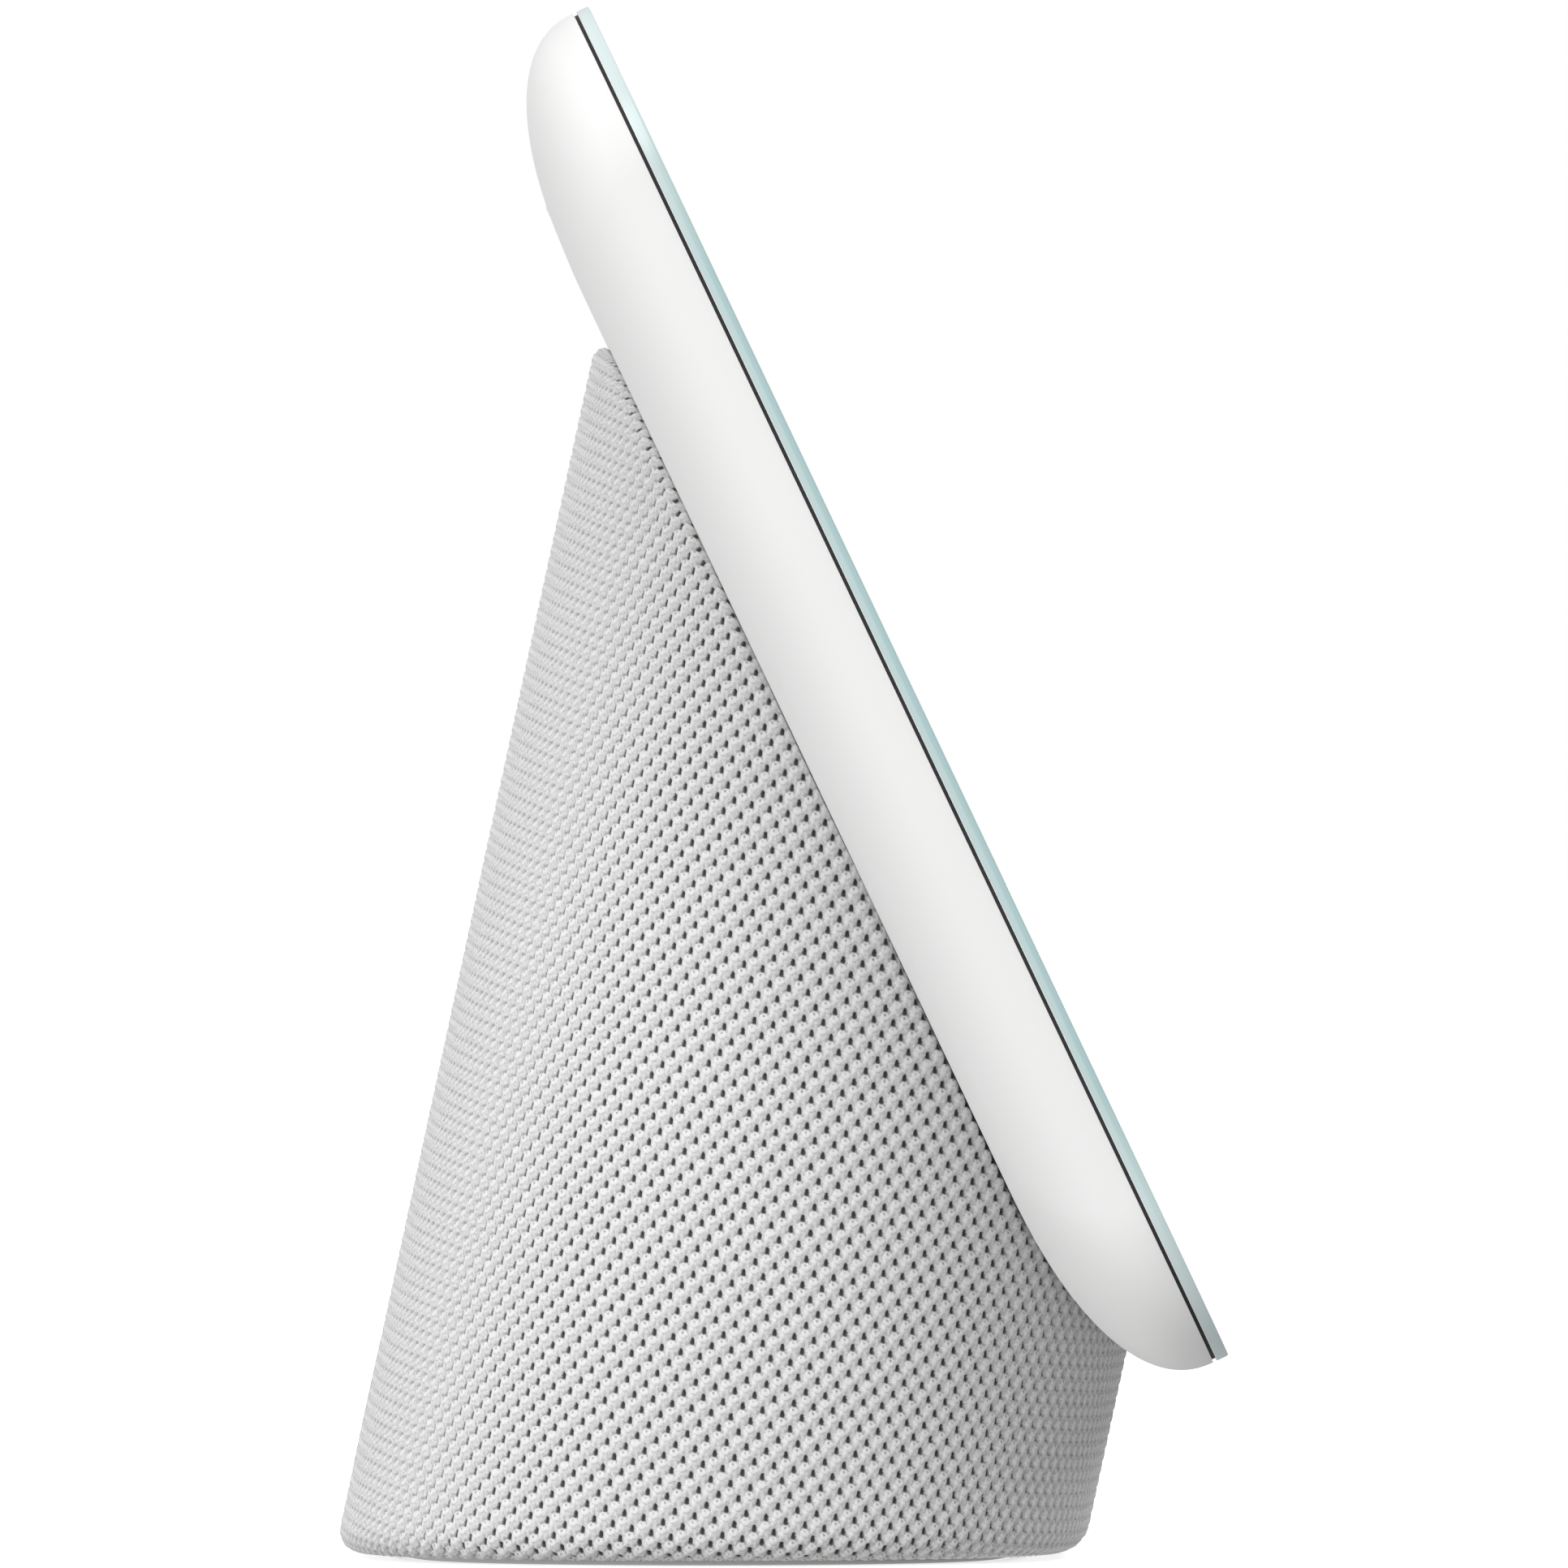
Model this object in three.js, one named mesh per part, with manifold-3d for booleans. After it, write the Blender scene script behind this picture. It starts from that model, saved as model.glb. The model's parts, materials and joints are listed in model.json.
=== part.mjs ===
// A smart display speaker: a thin tilted display head on a leaning, knit-covered speaker base.
// Units are millimetres. The front faces -Y, +X is the right side seen from the front, and +Z is up.
// The origin is the centre of the footprint on the table.
import * as THREE from 'three';
import { mergeVertices } from 'three/addons/utils/BufferGeometryUtils.js';
import Module from 'manifold-3d';

const wasm = await Module();
wasm.setup();

// Driving dimensions: the whole object.
const WIDTH = 178.5;
const HEIGHT = 118;
const DEPTH = 67.6;
const TILT = THREE.MathUtils.degToRad(25.4); // the screen leans back from the vertical
const GAP = 0.3; // room between neighbouring pieces

// Driving dimensions: the head, whose depths are measured back from the front of the glass.
const HEAD_LENGTH = 112.4;
const CORNER_RADIUS = 13.5;
const BACK_CORNER_RADIUS = 11;
const GLASS_THICKNESS = 1;
const GASKET = { front: 1.06, back: 1.38, inset: 0.3, width: 3 };
const SHELL = { front: 1.44, curveStart: 1.22, back: 9.6, edgeReach: 18, exponent: 2.3, wall: 1.75 };
const LCD_PANEL = { width: 158, height: 97, front: 1.35, back: 2.35 };
const BACKLIGHT = { front: 2.65, back: 3.9 };
const SENSORS = { up: 51.4, microphoneX: 11, portRadius: 0.55, front: 1.7, back: 2.4 };
const FRAME = { width: 168, height: 102, front: 4.2, back: 4.9 };
const BOARD = { width: 106, height: 24, up: 25, front: 5.2, back: 6 };
const BRACKET = { width: 56, bottom: -32, top: 9, front: 6.6, back: 7.5 };
const NECK_SCREWS = [[-22, 4], [22, 4], [-22, -27], [22, -27]];
const FRAME_SCREWS = [[-81.5, -30], [81.5, -30], [-81.5, 30], [81.5, 30]];
const CABLE_HOLE = { x: 36, up: -4, radius: 3.2 };

// Driving dimensions: the base, a prism that leans forward as it rises.
const BASE = { halfWidth: 50, halfDepth: 28.8, sideExponent: 3.4, lean: 0.2158, rearAtTable: 34.34 };
const FABRIC = { thickness: 1.2, bottom: 0.5, cornerRadius: 2, lip: 5 };
const FOOT = { height: 1.5, inset: 5.3, edge: 0.5 };
const PLATE = { bottom: 1.8, top: 3.8, inset: 3.5 };
const ENCLOSURE = { bottom: 4.1, inset: 1.5, wall: 2.2, postRadius: 3.3, postHeight: 6.5 };
const BASE_SCREWS = [[-37.5, 15], [37.5, 15], [-37.5, -15], [37.5, -15]];
const PRISM_TOP = 96;

// Driving dimensions: the loudspeaker, the inlet and the controls.
const DRIVER = { height: 39.5, radius: 21.5, grilleRadius: 18, seatThickness: 1.2 };
const INLET = { height: 11.5, radius: 3.3, trim: 2, depth: 8.5, pinRadius: 0.9, body: 9.4 };
const MIC_SWITCH = { up: 43.4, slotLength: 13, slotWidth: 4.4, knobLength: 9.6, knobX: -1, top: 9.35 };
const VOLUME = { up: 14, inset: 8, length: 24, width: 4.6, thickness: 1.5, clearance: 0.35 };

// Mesh helpers.

const finish = (color, roughness, metalness = 0) => ({ color, roughness, metalness });

const FINISHES = {
  glass: finish(0x9aa5a6, 0.08),
  gasket: finish(0x2c2c2c, 0.7),
  whiteShell: finish(0xe9e9e8, 0.42),
  fabric: finish(0xdadad8, 0.95),
  foot: finish(0xb9b9b7, 0.85),
  blackPlastic: finish(0x1c1c1e, 0.55),
  board: finish(0x1f5a3a, 0.5),
  steel: finish(0xb4b6b8, 0.35, 1),
  aluminium: finish(0xc2c4c6, 0.4, 1),
  panel: finish(0x101214, 0.2),
  foil: finish(0xe3e3df, 0.3, 0.4),
  copper: finish(0xb4703a, 0.4, 1),
  magnet: finish(0x3a3a3d, 0.6, 0.5),
  paperCone: finish(0x26272a, 0.8),
  rubber: finish(0x17171a, 0.7),
};

const root = new THREE.Group();

function piece(parent, name, geometry, material) {
  const mesh = new THREE.Mesh(geometry, new THREE.MeshStandardMaterial(FINISHES[material]));
  mesh.name = name;
  parent.add(mesh);
  return mesh;
}

function solidOf(geometry) {
  const bare = new THREE.BufferGeometry();
  bare.setAttribute('position', geometry.getAttribute('position').clone());
  if (geometry.index) bare.setIndex(geometry.index.clone());
  const merged = mergeVertices(bare, 1e-4);
  return new wasm.Manifold(new wasm.Mesh({
    numProp: 3,
    vertProperties: new Float32Array(merged.getAttribute('position').array),
    triVerts: new Uint32Array(merged.index.array),
  }));
}

function geometryOf(solid) {
  const mesh = solid.getMesh();
  const geometry = new THREE.BufferGeometry();
  geometry.setAttribute('position', new THREE.BufferAttribute(mesh.vertProperties, 3));
  geometry.setIndex(new THREE.BufferAttribute(mesh.triVerts, 1));
  return geometry;
}

function cut(geometry, ...tools) {
  const solid = tools.reduce((left, tool) => left.subtract(solidOf(tool)), solidOf(geometry));
  return geometryOf(solid);
}

function join(geometry, ...others) {
  const solid = others.reduce((sum, other) => sum.add(solidOf(other)), solidOf(geometry));
  return geometryOf(solid);
}

// A closed skin over rings of points that run counter-clockwise about the direction of travel.
// The ends are capped, unless the last ring leads back to the first, as round a tube's wall.
function loft(rings, leadsBack = false) {
  const size = rings[0].length;
  const positions = rings.flat().flatMap((point) => point.toArray());
  const index = [];
  const spans = leadsBack ? rings.length : rings.length - 1;
  for (let row = 0; row < spans; row += 1) {
    const next = (row + 1) % rings.length;
    for (let i = 0; i < size; i += 1) {
      const j = (i + 1) % size;
      index.push(row * size + i, row * size + j, next * size + j);
      index.push(row * size + i, next * size + j, next * size + i);
    }
  }
  if (!leadsBack) {
    for (const [row, reversed] of [[0, true], [rings.length - 1, false]]) {
      const middle = rings[row].reduce((sum, point) => sum.add(point), new THREE.Vector3());
      const centre = positions.length / 3;
      positions.push(...middle.divideScalar(size).toArray());
      for (let i = 0; i < size; i += 1) {
        const a = row * size + i;
        const b = row * size + (i + 1) % size;
        index.push(centre, ...(reversed ? [b, a] : [a, b]));
      }
    }
  }
  const geometry = new THREE.BufferGeometry();
  geometry.setAttribute('position', new THREE.Float32BufferAttribute(positions, 3));
  geometry.setIndex(index);
  return geometry;
}

function box(width, length, height, x = 0, y = 0, z = 0) {
  return new THREE.BoxGeometry(width, length, height).translate(x, y, z);
}

// A round bar along Z, given by its place and its two ends.
function bar(radius, x, y, low, high, sides = 14) {
  const geometry = new THREE.CylinderGeometry(radius, radius, high - low, sides).rotateX(Math.PI / 2);
  return geometry.translate(x, y, (low + high) / 2);
}

// A turned piece about Z from a closed profile of [radius, z] points.
function turned(profile, segments = 20) {
  const points = [...profile, profile[0]].map(([radius, z]) => new THREE.Vector2(radius, z));
  const geometry = new THREE.LatheGeometry(points, segments).rotateX(Math.PI / 2);
  return solidOf(geometry).volume() < 0 ? reversed(geometry) : geometry;
}

function reversed(geometry) {
  const order = geometry.index.array;
  for (let i = 0; i < order.length; i += 3) [order[i + 1], order[i + 2]] = [order[i + 2], order[i + 1]];
  return geometry;
}

function ring(inner, outer, low, high, segments = 20) {
  return turned([[inner, low], [outer, low], [outer, high], [inner, high]], segments);
}

// A bar with round ends that lies along X, between two heights.
function capsule(length, width, low, high, perEnd = 8) {
  const shape = new THREE.Shape();
  const reach = (length - width) / 2;
  shape.absarc(reach, 0, width / 2, -Math.PI / 2, Math.PI / 2);
  shape.absarc(-reach, 0, width / 2, Math.PI / 2, Math.PI * 1.5);
  const settings = { depth: high - low, bevelEnabled: false, curveSegments: perEnd };
  return new THREE.ExtrudeGeometry(shape, settings).translate(0, 0, low);
}

function tube(points, radius, sides = 8, steps = 24) {
  const shape = new THREE.Shape().absarc(0, 0, radius, 0, Math.PI * 2);
  const path = new THREE.CatmullRomCurve3(points.map((point) => new THREE.Vector3(...point)));
  return new THREE.ExtrudeGeometry(shape, { steps, curveSegments: sides / 2, extrudePath: path });
}

// Outlines of the head and the base, and the solids that follow them.

function roundedRectangle(width, height, radius, perCorner = 7) {
  const points = [];
  for (let corner = 0; corner < 4; corner += 1) {
    const sideX = corner === 0 || corner === 3 ? 1 : -1;
    const sideY = corner < 2 ? 1 : -1;
    for (let i = 0; i <= perCorner; i += 1) {
      const angle = (corner + i / perCorner) * Math.PI / 2;
      const x = sideX * (width / 2 - radius) + radius * Math.cos(angle);
      const y = sideY * (height / 2 - radius) + radius * Math.sin(angle);
      points.push(new THREE.Vector2(x, y));
    }
  }
  return points;
}

// The head's outline, drawn in by an inset, at a depth behind the glass.
function headRing(inset, depth) {
  const share = THREE.MathUtils.clamp(inset / SHELL.edgeReach, 0, 1);
  const radius = THREE.MathUtils.lerp(CORNER_RADIUS, BACK_CORNER_RADIUS, share);
  const outline = roundedRectangle(WIDTH - 2 * inset, HEAD_LENGTH - 2 * inset, radius);
  return outline.map((point) => new THREE.Vector3(point.x, point.y, -depth));
}

// The shell's edge is a superellipse from the rim to the flat back; a wall moves it inwards.
function shellRings(wall, levels = 7) {
  const height = SHELL.back - wall - SHELL.curveStart;
  const rings = [headRing(wall, SHELL.front)];
  for (let level = 1; level <= levels; level += 1) {
    const turn = (level / levels) * Math.PI / 2;
    const inset = SHELL.edgeReach * (1 - Math.cos(turn) ** (2 / SHELL.exponent));
    const depth = SHELL.curveStart + height * Math.sin(turn) ** (2 / SHELL.exponent);
    rings.push(headRing(wall + inset, depth));
  }
  return rings;
}

// The space that the head takes from the base: the shell grown by a gap and run far out to the front.
function headBlank(gap) {
  const reach = 70;
  const rings = shellRings(-gap);
  const blank = loft([...rings.reverse(), headRing(-gap, -reach)]);
  return blank.applyMatrix4(head.matrixWorld);
}

// The base's outline seen from above: rounded ends, long sides that bow a little.
function baseOutline(inset, count = 40) {
  const fine = [];
  const fineCount = count * 40;
  for (let i = 0; i < fineCount; i += 1) {
    const angle = (i / fineCount) * Math.PI * 2;
    const x = Math.sign(Math.cos(angle)) * Math.abs(Math.cos(angle)) ** (2 / BASE.sideExponent);
    fine.push(new THREE.Vector2(x * BASE.halfWidth, Math.sin(angle) * BASE.halfDepth));
  }
  const path = new THREE.Path([...fine, fine[0]]);
  const evenly = path.getSpacedPoints(count).slice(0, count);
  return evenly.map((point, i) => {
    const along = evenly[(i + 1) % count].clone().sub(evenly[(i + count - 1) % count]).normalize();
    return new THREE.Vector2(point.x - along.y * inset, point.y + along.x * inset);
  });
}

const baseMiddle = (z) => BASE.rearAtTable - BASE.halfDepth - BASE.lean * z;
const screwMiddle = baseMiddle(PLATE.top);

function baseRing(inset, z) {
  return baseOutline(inset).map((point) => new THREE.Vector3(point.x, point.y + baseMiddle(z), z));
}

function prism(inset, low, high) {
  return loft([baseRing(inset, low), baseRing(inset, high)]);
}

// The head.

const head = new THREE.Group();
head.rotation.x = Math.PI / 2 - TILT;
const headMiddleY = -DEPTH / 2 + Math.sin(TILT) * HEAD_LENGTH / 2;
const headMiddleZ = HEIGHT - Math.cos(TILT) * HEAD_LENGTH / 2;
head.position.set(0, headMiddleY, headMiddleZ);
root.add(head);
head.updateMatrixWorld(true);

// A plate that lies between two depths behind the glass.
function layer(width, height, front, back, x = 0, y = 0) {
  return box(width, height, back - front, x, y, -(front + back) / 2);
}

// A machine screw that points away from the glass: a pan head, then a shank.
function headScrew(x, y, seat, headRadius, headHeight, shankRadius, tip) {
  const pan = bar(headRadius, x, y, -seat, -seat + headHeight, 10);
  return join(pan, bar(shankRadius, x, y, -tip, -seat + headHeight / 2, 8));
}

function buildGlassAndScreen() {
  const chamfer = 0.15;
  const glass = loft([
    headRing(0, GLASS_THICKNESS),
    headRing(0, chamfer),
    headRing(chamfer, 0),
  ]);
  const ports = [-1, 1].map((side) => {
    return bar(SENSORS.portRadius, side * SENSORS.microphoneX, SENSORS.up + 0.2, -2, 1, 8);
  });
  piece(head, 'cover_glass', cut(glass, ...ports), 'glass');

  const frontRing = headRing(GASKET.inset, GASKET.front);
  const backRing = headRing(GASKET.inset, GASKET.back);
  const innerBack = headRing(GASKET.inset + GASKET.width, GASKET.back);
  const innerFront = headRing(GASKET.inset + GASKET.width, GASKET.front);
  piece(head, 'glass_gasket', loft([backRing, frontRing, innerFront, innerBack], true), 'gasket');

  const { width, height, front, back } = LCD_PANEL;
  piece(head, 'lcd_panel', layer(width, height, front, back), 'panel');
  piece(head, 'backlight_unit', layer(width, height, BACKLIGHT.front, BACKLIGHT.back), 'foil');
}

function buildMidFrame() {
  const outline = roundedRectangle(FRAME.width, FRAME.height, BACK_CORNER_RADIUS, 4);
  const faces = [FRAME.back, FRAME.front].map((depth) => {
    return outline.map((point) => new THREE.Vector3(point.x, point.y, -depth));
  });
  const plate = loft(faces);
  const holes = FRAME_SCREWS.map(([x, y]) => bar(1.3, x, y, -6, -3, 8));
  const flexSlot = layer(24, 2.4, 3.5, 5.5, 0, 45.5);
  piece(head, 'mid_frame', cut(plate, ...holes, flexSlot), 'aluminium');
  FRAME_SCREWS.forEach(([x, y], i) => {
    piece(head, `frame_screw_${i + 1}`, headScrew(x, y, 3.9, 1.7, 0.9, 0.9, 6.9), 'steel');
  });
}

function buildElectronics() {
  const { front, back } = BOARD;
  piece(head, 'main_board', layer(BOARD.width, BOARD.height, front, back, 0, BOARD.up), 'board');
  piece(head, 'shield_can', layer(38, 19, back + GAP, 7.5, -22, BOARD.up), 'steel');
  piece(head, 'display_flex', layer(22, 6.4, back + GAP, 6.6, 14, 33), 'copper');
  piece(head, 'sensor_board', layer(92, 3.6, SENSORS.front, SENSORS.back, 0, SENSORS.up), 'board');
  const seat = SENSORS.back + GAP;
  for (const [side, x] of [['left', -SENSORS.microphoneX], ['right', SENSORS.microphoneX]]) {
    piece(head, `microphone_${side}`, layer(3.6, 2.6, seat, seat + 1, x, SENSORS.up), 'steel');
  }
  piece(head, 'light_sensor', layer(2.4, 2.2, seat, seat + 0.7, 0, SENSORS.up), 'blackPlastic');
  for (const [side, x] of [['left', -69], ['right', 69]]) {
    piece(head, `aerial_${side}`, layer(22, 7, front, 5.6, x, 38), 'copper');
  }
  piece(head, 'mic_switch_body', layer(15, 6, front, 6.9, 0, MIC_SWITCH.up), 'blackPlastic');
  piece(head, 'volume_board', layer(4.5, 21, front, 5.7, 80.7, VOLUME.up), 'board');
  for (const [way, offset] of [['up', 8], ['down', -8]]) {
    const place = VOLUME.up + offset;
    piece(head, `volume_switch_${way}`, layer(2.8, 2.8, 6, 6.5, 80.4, place), 'blackPlastic');
  }
}

function buildNeckBracket() {
  const { width, bottom, top, front, back } = BRACKET;
  const plate = layer(width, top - bottom, front, back, 0, (top + bottom) / 2);
  const holes = NECK_SCREWS.map(([x, y]) => bar(1.6, x, y, -9, -5, 8));
  piece(head, 'neck_bracket', cut(plate, ...holes), 'steel');
  NECK_SCREWS.forEach(([x, y], i) => {
    const seat = front - GAP;
    piece(head, `neck_screw_${i + 1}`, headScrew(x, y, seat, 2.5, 1.1, 1.2, 15.6), 'steel');
  });
}

// The volume rocker's frame: Z points out of the curved edge, and X runs along the rocker.
function volumeGroup() {
  const share = (SHELL.edgeReach - VOLUME.inset) / SHELL.edgeReach;
  const drop = (1 - share ** SHELL.exponent) ** (1 / SHELL.exponent);
  const height = SHELL.back - SHELL.curveStart;
  const slope = (height / SHELL.edgeReach) * (share / drop) ** (SHELL.exponent - 1);
  const group = new THREE.Group();
  group.position.set(WIDTH / 2 - VOLUME.inset, VOLUME.up, -(SHELL.curveStart + height * drop));
  group.rotation.order = 'ZYX';
  group.rotation.y = Math.PI - Math.atan(slope);
  group.rotateZ(Math.PI / 2);
  return group;
}

function buildRearHousing() {
  const outer = shellRings(0);
  const inner = shellRings(SHELL.wall);
  const shell = loft([...outer.reverse(), ...inner]);
  const bosses = FRAME_SCREWS.map(([x, y]) => bar(2.4, x, y, -7.6, -FRAME.back - GAP, 8));
  const bossHoles = FRAME_SCREWS.map(([x, y]) => bar(1.2, x, y, -7.2, -4, 8));
  const neckHoles = NECK_SCREWS.map(([x, y]) => bar(1.6, x, y, -11, -6, 8));
  const cableHole = bar(CABLE_HOLE.radius, CABLE_HOLE.x, CABLE_HOLE.up, -11, -6);
  const micSlot = capsule(MIC_SWITCH.slotLength, MIC_SWITCH.slotWidth, -11, -6);
  micSlot.translate(0, MIC_SWITCH.up, 0);
  const room = 2 * VOLUME.clearance;
  const volumePocket = capsule(VOLUME.length + room, VOLUME.width + room, -VOLUME.thickness - 1.2, 4);
  const group = volumeGroup();
  group.updateMatrix();
  volumePocket.applyMatrix4(group.matrix);
  const joined = join(shell, ...bosses);
  const housing = cut(joined, ...bossHoles, ...neckHoles, cableHole, micSlot, volumePocket);
  piece(head, 'rear_housing', housing, 'whiteShell');
}

function buildControls() {
  const { knobX, top } = MIC_SWITCH;
  const knob = capsule(MIC_SWITCH.knobLength, MIC_SWITCH.slotWidth - 0.7, -top, -7.2);
  const ribs = [-2.4, 0, 2.4].map((x) => box(0.7, 5, 0.8, x, 0, -top));
  const slider = cut(knob, ...ribs).translate(knobX, MIC_SWITCH.up, 0);
  piece(head, 'mic_switch', slider, 'whiteShell');

  const group = volumeGroup();
  head.add(group);
  const bottom = -VOLUME.thickness;
  const rocker = capsule(VOLUME.length, VOLUME.width, bottom, 0.05);
  const dent = box(3, 8, 1, 0, 0, 0.35);
  piece(group, 'volume_rocker', cut(rocker, dent), 'whiteShell');
}

// The base.

function buildFabricSleeve() {
  const { thickness, bottom, cornerRadius, lip } = FABRIC;
  const rounding = [0, 1, 2].map((step) => {
    const angle = (step / 3) * Math.PI / 2;
    return baseRing(cornerRadius * (1 - Math.sin(angle)), bottom + cornerRadius * (1 - Math.cos(angle)));
  });
  const outer = loft([...rounding, baseRing(0, bottom + cornerRadius), baseRing(0, PRISM_TOP)]);
  const hollow = loft([
    baseRing(lip, bottom - 1),
    baseRing(lip, bottom + thickness - 0.1),
    baseRing(cornerRadius + 0.9, bottom + thickness),
    baseRing(thickness, bottom + cornerRadius + 0.6),
    baseRing(thickness, PRISM_TOP + 1),
  ]);
  const lead = inletSpace(6);
  piece(root, 'fabric_sleeve', cut(outer, hollow, headBlank(GAP), lead), 'fabric');
}

// Frames on the base's rear wall: Z points straight out of the wall at a height on it.
function onRearWall(height, depth) {
  const group = new THREE.Group();
  const wall = new THREE.Vector2(BASE.rearAtTable - BASE.lean * height, height);
  const out = new THREE.Vector2(1, BASE.lean).normalize();
  group.position.set(0, wall.x - out.x * depth, wall.y - out.y * depth);
  group.rotation.x = -Math.acos(out.y);
  group.updateMatrix();
  return group;
}

// The round hole through the rear wall that the inlet and its trim ring sit in.
function inletSpace(inwards) {
  const radius = INLET.radius + INLET.trim + GAP;
  return bar(radius, 0, 0, -inwards, 3, 20).applyMatrix4(onRearWall(INLET.height, 0).matrix);
}

function buildEnclosure() {
  const { bottom, inset, wall, postRadius, postHeight } = ENCLOSURE;
  const headGap = 0.35;
  const outer = cut(prism(inset, bottom, PRISM_TOP), headBlank(headGap));
  const roof = layer(3 * WIDTH, 4 * HEAD_LENGTH, -2 * PRISM_TOP, SHELL.back + headGap + wall);
  const inner = cut(prism(inset + wall, bottom - 5, PRISM_TOP), roof.applyMatrix4(head.matrixWorld));
  const shell = cut(outer, inner);

  const seat = onRearWall(DRIVER.height, inset + wall - 0.4);
  const seatRing = ring(DRIVER.grilleRadius - 0.3, DRIVER.radius + 0.6, -0.4 - DRIVER.seatThickness, 0, 24);
  const screwPosts = BASE_SCREWS.map(([x, y]) => {
    return bar(postRadius, x, y + screwMiddle, bottom, bottom + postHeight, 8);
  });
  const neckPosts = NECK_SCREWS.map(([x, y]) => {
    return bar(3.2, x, y, -16.2, -SHELL.back - 1.5, 8).applyMatrix4(head.matrixWorld);
  });
  const joined = join(shell, seatRing.applyMatrix4(seat.matrix), ...screwPosts, ...neckPosts);

  const postHoles = BASE_SCREWS.map(([x, y]) => {
    return bar(1.35, x, y + screwMiddle, bottom - 1, bottom + postHeight - 1, 8);
  });
  const neckHoles = NECK_SCREWS.map(([x, y]) => {
    return bar(1.6, x, y, -16, -SHELL.back, 8).applyMatrix4(head.matrixWorld);
  });
  const cableHole = bar(CABLE_HOLE.radius, CABLE_HOLE.x, CABLE_HOLE.up, -16, -SHELL.back);
  cableHole.applyMatrix4(head.matrixWorld);
  const grille = grilleHoles().map((hole) => hole.applyMatrix4(seat.matrix));
  const cuts = [...postHoles, ...neckHoles, cableHole, inletSpace(8), ...grille];
  piece(root, 'speaker_enclosure', cut(joined, ...cuts), 'blackPlastic');
}

// Rows of upright slots in front of the cone.
function grilleHoles() {
  const pitch = 6;
  const holes = [];
  for (let column = -2; column <= 2; column += 1) {
    const x = column * pitch;
    const reach = Math.sqrt((DRIVER.grilleRadius - 1.5) ** 2 - (Math.abs(x) + 1.6) ** 2);
    const slot = capsule(2 * reach, 3, -4, 6, 3).rotateZ(Math.PI / 2);
    holes.push(slot.translate(x, 0, 0));
  }
  return holes;
}

function buildBaseBottom() {
  const { bottom, top, inset } = PLATE;
  const plate = prism(inset, bottom, top);
  const shanks = BASE_SCREWS.map(([x, y]) => bar(1.5, x, y + screwMiddle, 0, 6, 8));
  const recesses = BASE_SCREWS.map(([x, y]) => bar(2.9, x, y + screwMiddle, 0, bottom + 1.1, 12));
  piece(root, 'base_plate', cut(plate, ...shanks, ...recesses), 'blackPlastic');

  const foot = loft([
    baseRing(FOOT.inset + FOOT.edge, 0),
    baseRing(FOOT.inset, FOOT.edge),
    baseRing(FOOT.inset, FOOT.height),
  ]);
  piece(root, 'rubber_foot', foot, 'foot');

  BASE_SCREWS.forEach(([x, y], i) => {
    const place = y + screwMiddle;
    const pan = bar(2.4, x, place, bottom, bottom + 0.8, 10);
    const screw = join(pan, bar(1.05, x, place, bottom + 0.4, 9, 8));
    piece(root, `base_screw_${i + 1}`, screw, 'steel');
  });
}

function buildDriver() {
  const depth = ENCLOSURE.inset + ENCLOSURE.wall + DRIVER.seatThickness + GAP;
  const driver = onRearWall(DRIVER.height, depth);
  root.add(driver);
  const rim = DRIVER.radius;
  piece(driver, 'driver_gasket', ring(18.6, rim, -0.9, 0), 'rubber');
  const basket = turned([
    [18.6, -1.2], [rim, -1.2], [rim, -2.2], [19.3, -2.2], [15.2, -10.2], [7.4, -10.2],
    [7.4, -9.2], [14.4, -9.2], [18.2, -2.2], [18.6, -1.9],
  ]);
  piece(driver, 'driver_basket', basket, 'steel');
  const surround = turned([
    [14.6, -1.2], [15.6, -0.4], [16.6, -0.1], [17.6, -0.4], [18.2, -1.2], [17.8, -1.5],
    [17.3, -0.9], [16.6, -0.6], [15.9, -0.9], [15, -1.6],
  ]);
  piece(driver, 'driver_surround', surround, 'rubber');
  const cone = turned([
    [6.4, -5.6], [14.1, -1.8], [14.1, -2.2], [6.9, -5.9], [6.9, -6.4], [6.4, -6.4],
  ]);
  piece(driver, 'driver_cone', cone, 'paperCone');
  const dome = turned([
    [0, -4.2], [3, -4.55], [5, -5.3], [6, -6.1], [5.6, -6.1], [4.8, -5.65], [3, -4.95], [0, -4.6],
  ]);
  piece(driver, 'driver_dust_cap', dome, 'rubber');
  piece(driver, 'driver_voice_coil', ring(6.4, 6.8, -12.4, -6.7), 'copper');
  piece(driver, 'driver_spider', ring(7.1, 12.6, -8.8, -8.5), 'paperCone');
  piece(driver, 'driver_front_plate', ring(7.1, 12, -12.6, -10.5), 'steel');
  piece(driver, 'driver_magnet', ring(8.2, 13, -16.6, -12.9), 'magnet');
  const pole = bar(6, 0, 0, -17.5, -10.6, 20);
  piece(driver, 'driver_back_plate', join(bar(12, 0, 0, -18.6, -16.9, 20), pole), 'steel');
}

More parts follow.
